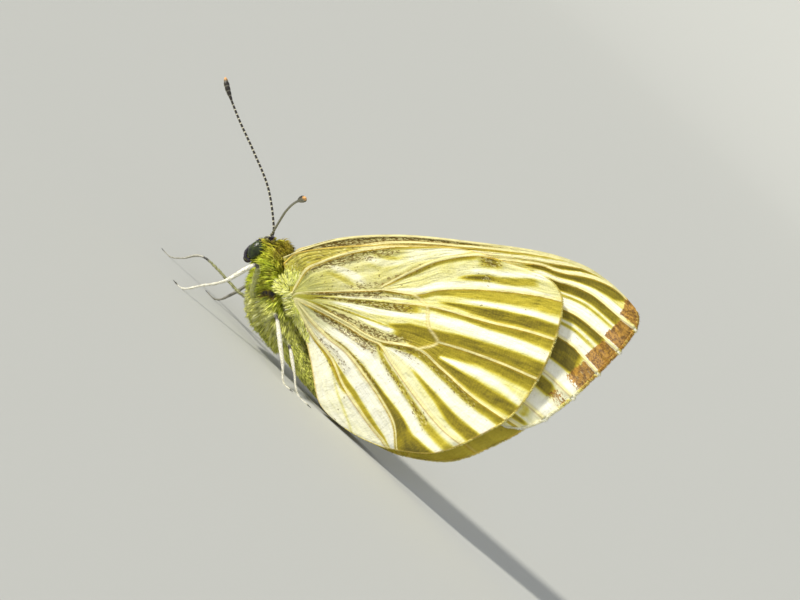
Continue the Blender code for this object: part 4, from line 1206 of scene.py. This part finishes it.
palp = {
    "thick": 0.125, "tip": 0.3, "sides": 14,  # its radius, and the share of it that tapers
    "bristles": 900, "bristle": 0.2, "bristleWidth": 0.013, "clump": 0.2,
    "onward": 0.8, "outward": 0.45, "rooted": 0.06,  # how a bristle leans, and how far out it starts
    "dark": 0.0, "light": 0.6, "pale": 0.04,  # the two tones of bristle, and the share of light ones
    "line": [
        (1.45, 0.36, 4.75), (1.36, 0.46, 4.46), (1.1, 0.5, 4.36), (0.84, 0.5, 4.54),
        (0.74, 0.46, 4.88), (0.78, 0.42, 5.22), (0.92, 0.38, 5.5),
    ],
}
for side, sideName in ((left, "left"), (right, "right")):
    # a finger that tapers to a rounded tip, with bristles pointing on along it and out
    line = smoothLine([(x, side * y, z) for x, y, z in palp["line"]], 60)
    t = np.linspace(0, 1, len(line))
    radii = palp["thick"] * np.sqrt(np.clip((1 - t) / palp["tip"], 0.01, 1))
    core = tube(line, radii, palp["sides"], (0, 1, 0))
    at = chance.uniform(0.1, 1.0, palp["bristles"])
    root = along(line, at)
    onward = unit(along(line, np.minimum(at + 0.02, 1)) - along(line, at - 0.02))
    out = unit(np.cross(onward, chance.normal(size=root.shape)))
    way = unit(onward * palp["onward"] + out * palp["outward"])
    root = root + out * palp["rooted"]
    length = palp["bristle"] * chance.uniform(0.5, 1.15, len(root))
    tone = np.where(chance.uniform(size=len(root)) < palp["pale"], palp["light"], palp["dark"])
    hair = tufts(root, way, 0 * way, length, palp["bristleWidth"], tone, palp["clump"])
    # the palp's core gets the hairs' painted root shade
    plain = {"tone": palp["dark"], "tint": 0.3, "rise": 0.3}
    marks = {key: np.r_[np.full(len(core[0]), plain[key]), value] for key, value in hair[2].items()}
    unwrap = np.vstack([tubeUnwrap(t, palp["sides"]), hairUnwrap(at, 0.5 + 0.2 * out[:, 1])])
    made = makePiece("palp" + sideName.title(), *join([core, hair[:2]]), furCoat, marks, unwrap)
    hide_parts("palp_" + sideName)
print("head built")


leg = {
    # stages of a leg: 0 hip, 1 knee, 2 ankle, 3 toe; how thick it is at each
    "thick": [(0, 0.15), (0.5, 0.12), (0.9, 0.1), (1.0, 0.1), (1.1, 0.11), (1.4, 0.15), (1.8, 0.12),
              (2.0, 0.085), (2.15, 0.07), (3.0, 0.05)],
    "footLevel": 0.19, "footDrop": 0.135,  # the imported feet's middle is higher than these thinner ones
    "toeJoints": 5, "toeSwell": 0.14, "sides": 14,
    "claw": 0.17, "clawThick": 0.02, "clawSpread": (-0.35, 0.35),
    "hairs": 900, "hairWidth": 0.013, "lean": 0.3, "thighLean": 0.25,
    "hair": [(0, 0.5), (0.3, 0.3), (0.8, 0.24), (1.0, 0.16), (1.1, 0.13), (2.0, 0.11), (3.0, 0.07)],
    # the thigh's green-yellow is partly its hair's colour and partly painted green-tinted shade
    "white": "#FBF8EC", "grey": "#C2BEA0", "thigh": "#AEB25A", "thighPale": "#DAD9A2", "knee": "#1D1710",
    "grain": 0.1,
    # which of a route's points are the knee and the ankle, how thick the leg is, and how much painted light it
    # keeps: legs that lie in shadow are painted darker
    "joints": {
        "leftFore": (2, 3, 1.25, 1.0), "leftMid": (2, 4, 1.2, 1.0), "leftHind": (2, 3, 0.95, 0.9),
        "rightFore": (2, 3, 0.66, 0.42), "rightMid": (2, 4, 0.85, 0.22), "rightHind": (2, 3, 0.9, 0.8),
    },
    "routes": {
        "leftFore": [
            (3.5, -0.6, 2.6), (2.95, -1.45, 3.1), (2.0, -2.1, 4.7), (1.15, -2.8, 2.45),
            (0.2, -3.2, 1.15), (-0.7, -3.5, 0.19), (-1.4, -3.6, 0.19),
        ],
        "leftMid": [
            (5.0, -0.7, 1.9), (5.15, -1.7, 2.3), (5.5, -2.3, 3.0), (7.2, -3.0, 1.75),
            (8.3, -3.4, 0.9), (9.2, -3.6, 0.19), (9.9, -3.7, 0.19),
        ],
        "leftHind": [
            (5.9, -0.6, 1.6), (6.9, -1.6, 2.0), (7.7, -2.0, 2.0), (9.2, -2.7, 1.0),
            (10.5, -3.1, 0.19), (11.6, -3.3, 0.19),
        ],
        "rightFore": [
            (3.5, 0.5, 2.5), (2.3, 1.15, 1.95), (-1.2, 2.8, 1.85), (-2.4, 3.25, 0.75),
            (-3.2, 3.5, 0.19), (-3.9, 3.6, 0.19),
        ],
        "rightMid": [
            (4.6, 0.7, 2.0), (3.5, 1.75, 2.45), (2.5, 2.3, 2.75), (2.1, 2.65, 1.6),
            (1.7, 2.95, 0.6), (1.2, 3.1, 0.19), (0.5, 3.3, 0.19),
        ],
        "rightHind": [
            (5.9, 0.6, 1.6), (6.9, 1.6, 2.0), (7.7, 2.0, 2.0), (9.1, 2.8, 1.0),
            (10.4, 3.3, 0.19), (11.5, 3.5, 0.19),
        ],
    },
}


def legMaterial(paint):
    # Chitin shingled with flat white scales: bright and satiny on the shin, dark at the knee where the joint
    # is bare, green-yellow hair on the thigh; a leg that lies in shadow is painted darker as a whole
    made, tree, value = newMaterial("whiteLegScales", "place", "stage", "bright", "tint")
    grain = add(tree, "TexNoise", {"Vector": value["place"], "Scale": 1 / (paint["grain"] * mm), "Detail": 3})
    value["mixed"] = add(tree, "Math", [grain, value["tint"]], operation="MULTIPLY")
    mask = {}
    for key, source, start, stop, most in (
        ("white", "mixed", 0.15, 0.4, 1), ("thighPale", "mixed", 0.15, 0.5, 1),
        ("thigh", "stage", 1.0, 0.86, 1), ("kneeTop", "stage", 0.9, 0.96, 0.9),
        ("kneeEnd", "stage", 1.12, 1.05, 1), ("toe", "stage", 2.9, 2.98, 1),
    ):
        mask[key] = add(tree, "MapRange", [value[source], start, stop, 0, most],
                        interpolation_type="SMOOTHSTEP")
    knee = add(tree, "Math", [mask["kneeTop"], mask["kneeEnd"]], operation="MULTIPLY")
    thigh = {mixFactor: mask["thighPale"], mixA: colour(paint["thigh"]), mixB: colour(paint["thighPale"])}
    thigh = add(tree, "Mix", thigh, data_type="RGBA")
    shade = colour(paint["grey"])
    for amount, over in ((mask["white"], colour(paint["white"])), (mask["thigh"], thigh),
                         (knee, colour(paint["knee"])), (mask["toe"], colour(paint["knee"]))):
        shade = add(tree, "Mix", {mixFactor: amount, mixA: shade, mixB: over}, data_type="RGBA")
    # painted shade: the whole leg is darkened by how much painted light it keeps
    paintedShade = add(tree, "MapRange", [value["bright"], 0, 1, 0.12])
    shade = add(tree, "VectorMath", [shade, paintedShade], operation="MULTIPLY")
    surface(tree, shade, 0.42, bumps=[(grain, 0.5, 0.02)])
    return made


def buildLeg(name, route, kneeAt, ankleAt, stout, bright):
    # a round profile carried along the route, with ringed toes, hairs and two hooked claws
    line = smoothLine(route, 160)
    t = np.linspace(0, 1, len(line))
    joints = [np.linalg.norm(line - np.array(route[k]), axis=1).argmin() for k in (kneeAt, ankleAt)]
    stage = np.interp(t, [0, *t[joints], 1], [0, 1, 2, 3])
    radii = stout * np.interp(stage, *np.array(leg["thick"]).T)
    swell = leg["toeSwell"] * smoothStep(2.05, 2.2, stage)
    radii = radii * (1 + swell * np.cos(2 * np.pi * leg["toeJoints"] * (stage - 2)))
    radii = radii * np.sqrt(np.clip((1 - t) / 0.02, 0.05, 1))
    line[:, 2] -= leg["footDrop"] * smoothStep(1.2, leg["footLevel"] + 0.1, line[:, 2])
    core = tube(line, radii, leg["sides"], (0.3, 0.2, 1))

    # hairs lean on along the leg, and stand out more on the thigh
    at = chance.uniform(0.04, 0.97, leg["hairs"])
    onward = unit(along(line, at + 0.01) - along(line, at - 0.01))
    out = unit(np.cross(onward, chance.normal(size=onward.shape)))
    rooted = np.interp(at, t, stage)
    length = stout * np.interp(rooted, *np.array(leg["hair"]).T) * chance.uniform(0.6, 1.2, len(at))
    root = along(line, at) + out * (0.85 * np.interp(at, t, radii))[:, None]
    lean = leg["lean"] + leg["thighLean"] * smoothStep(1.0, 0.8, rooted)
    hair = blades(root, unit(onward + out * lean[:, None]), 0 * out, length, leg["hairWidth"])

    # a claw's hook: ahead by the sine of twice the share along it, and aside and down a little
    ahead = unit(line[-1] - line[-8])
    side = unit(np.cross(ahead, [0, 0, 1]))
    q = np.linspace(0, 1, 12)[:, None]
    claws = []
    for spread in leg["clawSpread"]:
        hook = leg["claw"] * (ahead * np.sin(2 * q) + side * spread * q) + np.array([0, 0, -0.03]) * q ** 2
        claws.append(tube(line[-1] + hook, leg["clawThick"] * (1 - q) + 0.002, 8, (0, 0.1, 1)))
    points, faces = join([core, hair] + claws)
    points[:, 2] = np.maximum(points[:, 2], 0.0)
    count = len(points) - len(core[0]) - len(hair[0])
    tint = np.repeat(chance.uniform(0.3, 1.1, len(at)), hairPoints)
    marks = {
        "stage": np.r_[ringValues(stage, leg["sides"], 0, 3), np.repeat(rooted, hairPoints),
                       np.full(count, 3.0)],
        "tint": np.r_[np.full(len(core[0]), 0.55), tint, np.full(count, 0.3)],
        "bright": np.full(len(points), bright),
    }
    unwrap = [tubeUnwrap(t, leg["sides"]), hairUnwrap(at, 0.5 + 0.4 * out[:, 1]), np.full((count, 2), 0.995)]
    return makePiece(name, points, faces, whiteScales, marks, np.vstack(unwrap))


whiteScales = legMaterial(leg)
for key, route in leg["routes"].items():
    side, pair = ("left", key[4:]) if key.startswith("left") else ("right", key[5:])
    made = buildLeg("leg" + key[0].upper() + key[1:], route, *leg["joints"][key])
    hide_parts(f"leg_{pair.lower()}_{side}")
print("legs built")


# the radius of its flat part, then how much farther out its rim goes and how high it climbs there
backdrop = {"floor": 700, "rise": 500, "height": 420, "shade": "#BFC0BC"}


def buildBackdrop(size):
    # a round floor whose rim sweeps up: height grows as the square of the way past the flat part
    rise = np.linspace(0, size["rise"], 20)
    out = np.concatenate([np.linspace(0.01, size["floor"], 8), size["floor"] + rise[1:]])
    up = size["height"] * np.clip((out - size["floor"]) / size["rise"], 0, 1) ** 2
    turn = np.linspace(0, 2 * np.pi, 96)
    x, y = out[:, None] * np.cos(turn), out[:, None] * np.sin(turn)
    points = np.stack([x, y, up[:, None] + 0 * x], -1).reshape(-1, 3)
    # matt studio paper: one even grey, with soft shadows and no gleam
    paper, tree, _ = newMaterial("paperSweep")
    surface(tree, colour(size["shade"]), 0.9)
    mesh = bpy.data.meshes.new("floor")
    mesh.from_pydata(points * mm, [], gridQuads(len(out), len(turn))[1].tolist())
    mesh.materials.append(paper)
    mesh.shade_smooth()
    newObject("floor", mesh)


view = {
    # in degrees: the picture is turned so that the body climbs, seen from just above
    "tilt": 43, "elevation": 7,
    # where it looks, from how far, how wide it sees there, and the width of its sensor
    "aim": (11.18, 0, 9.65), "distance": 300, "width": 57.3, "sensor": 36,
}


def buildCamera(seen):
    # ahead points down by the elevation, and the picture's right and up are turned about it by the tilt; the
    # lens is the sensor's width x the distance / the width that is seen
    tilt, lift = math.radians(seen["tilt"]), math.radians(seen["elevation"])
    ahead = np.array([0, math.cos(lift), -math.sin(lift)])
    upright = np.array([0, math.sin(lift), math.cos(lift)])
    toRight = np.array([math.cos(tilt), 0, 0]) + upright * math.sin(tilt)
    up = np.array([-math.sin(tilt), 0, 0]) + upright * math.cos(tilt)
    camera = bpy.data.cameras.new("camera")
    camera.sensor_width = seen["sensor"]
    camera.lens = seen["sensor"] * seen["distance"] / seen["width"]
    camera.clip_start = 0.01
    made = newObject("camera", camera)
    turned = Matrix(np.stack([toRight, up, -ahead], 1).tolist()).to_4x4()
    turned.translation = Vector(zero + (np.array(seen["aim"]) - ahead * seen["distance"]) * mm)
    made.matrix_world = turned
    bpy.context.scene.camera = made
    return toRight, up, ahead


def addSun(name, towards, power, spread, tint):
    # a distant soft lamp, so that floor and model are lit alike
    lamp = bpy.data.lights.new(name, "SUN")
    lamp.energy = power
    lamp.angle = math.radians(spread)
    lamp.color = colour(tint)[:3]
    made = newObject(name, lamp)
    made.rotation_euler = Vector(-towards).to_track_quat("-Z", "Y").to_euler()


buildBackdrop(backdrop)
toRight, up, ahead = buildCamera(view)
# each lamp's direction by the picture's right, up and ahead, its power, its spread in degrees and its colour
lighting = {
    "key": ((-0.35, 0.9, -0.45), 4.3, 7, "#FFFBF0"),
    "fill": ((0.5, 0.2, -0.8), 0.5, 40, "#EFF4FF"),
}
for name, (towards, power, spread, tint) in lighting.items():
    addSun(name, unit(np.array(towards) @ [toRight, up, ahead]), power, spread, tint)
bpy.context.scene.view_settings.view_transform = "Standard"  # colours come out as they are given
studio = {"Color": colour("#E9ECEF"), "Strength": 0.5}
world = bpy.data.worlds.new("studio")
bpy.context.scene.world = world
world.use_nodes = True
feed(world.node_tree, world.node_tree.nodes["Background"], studio)
print("stage set")
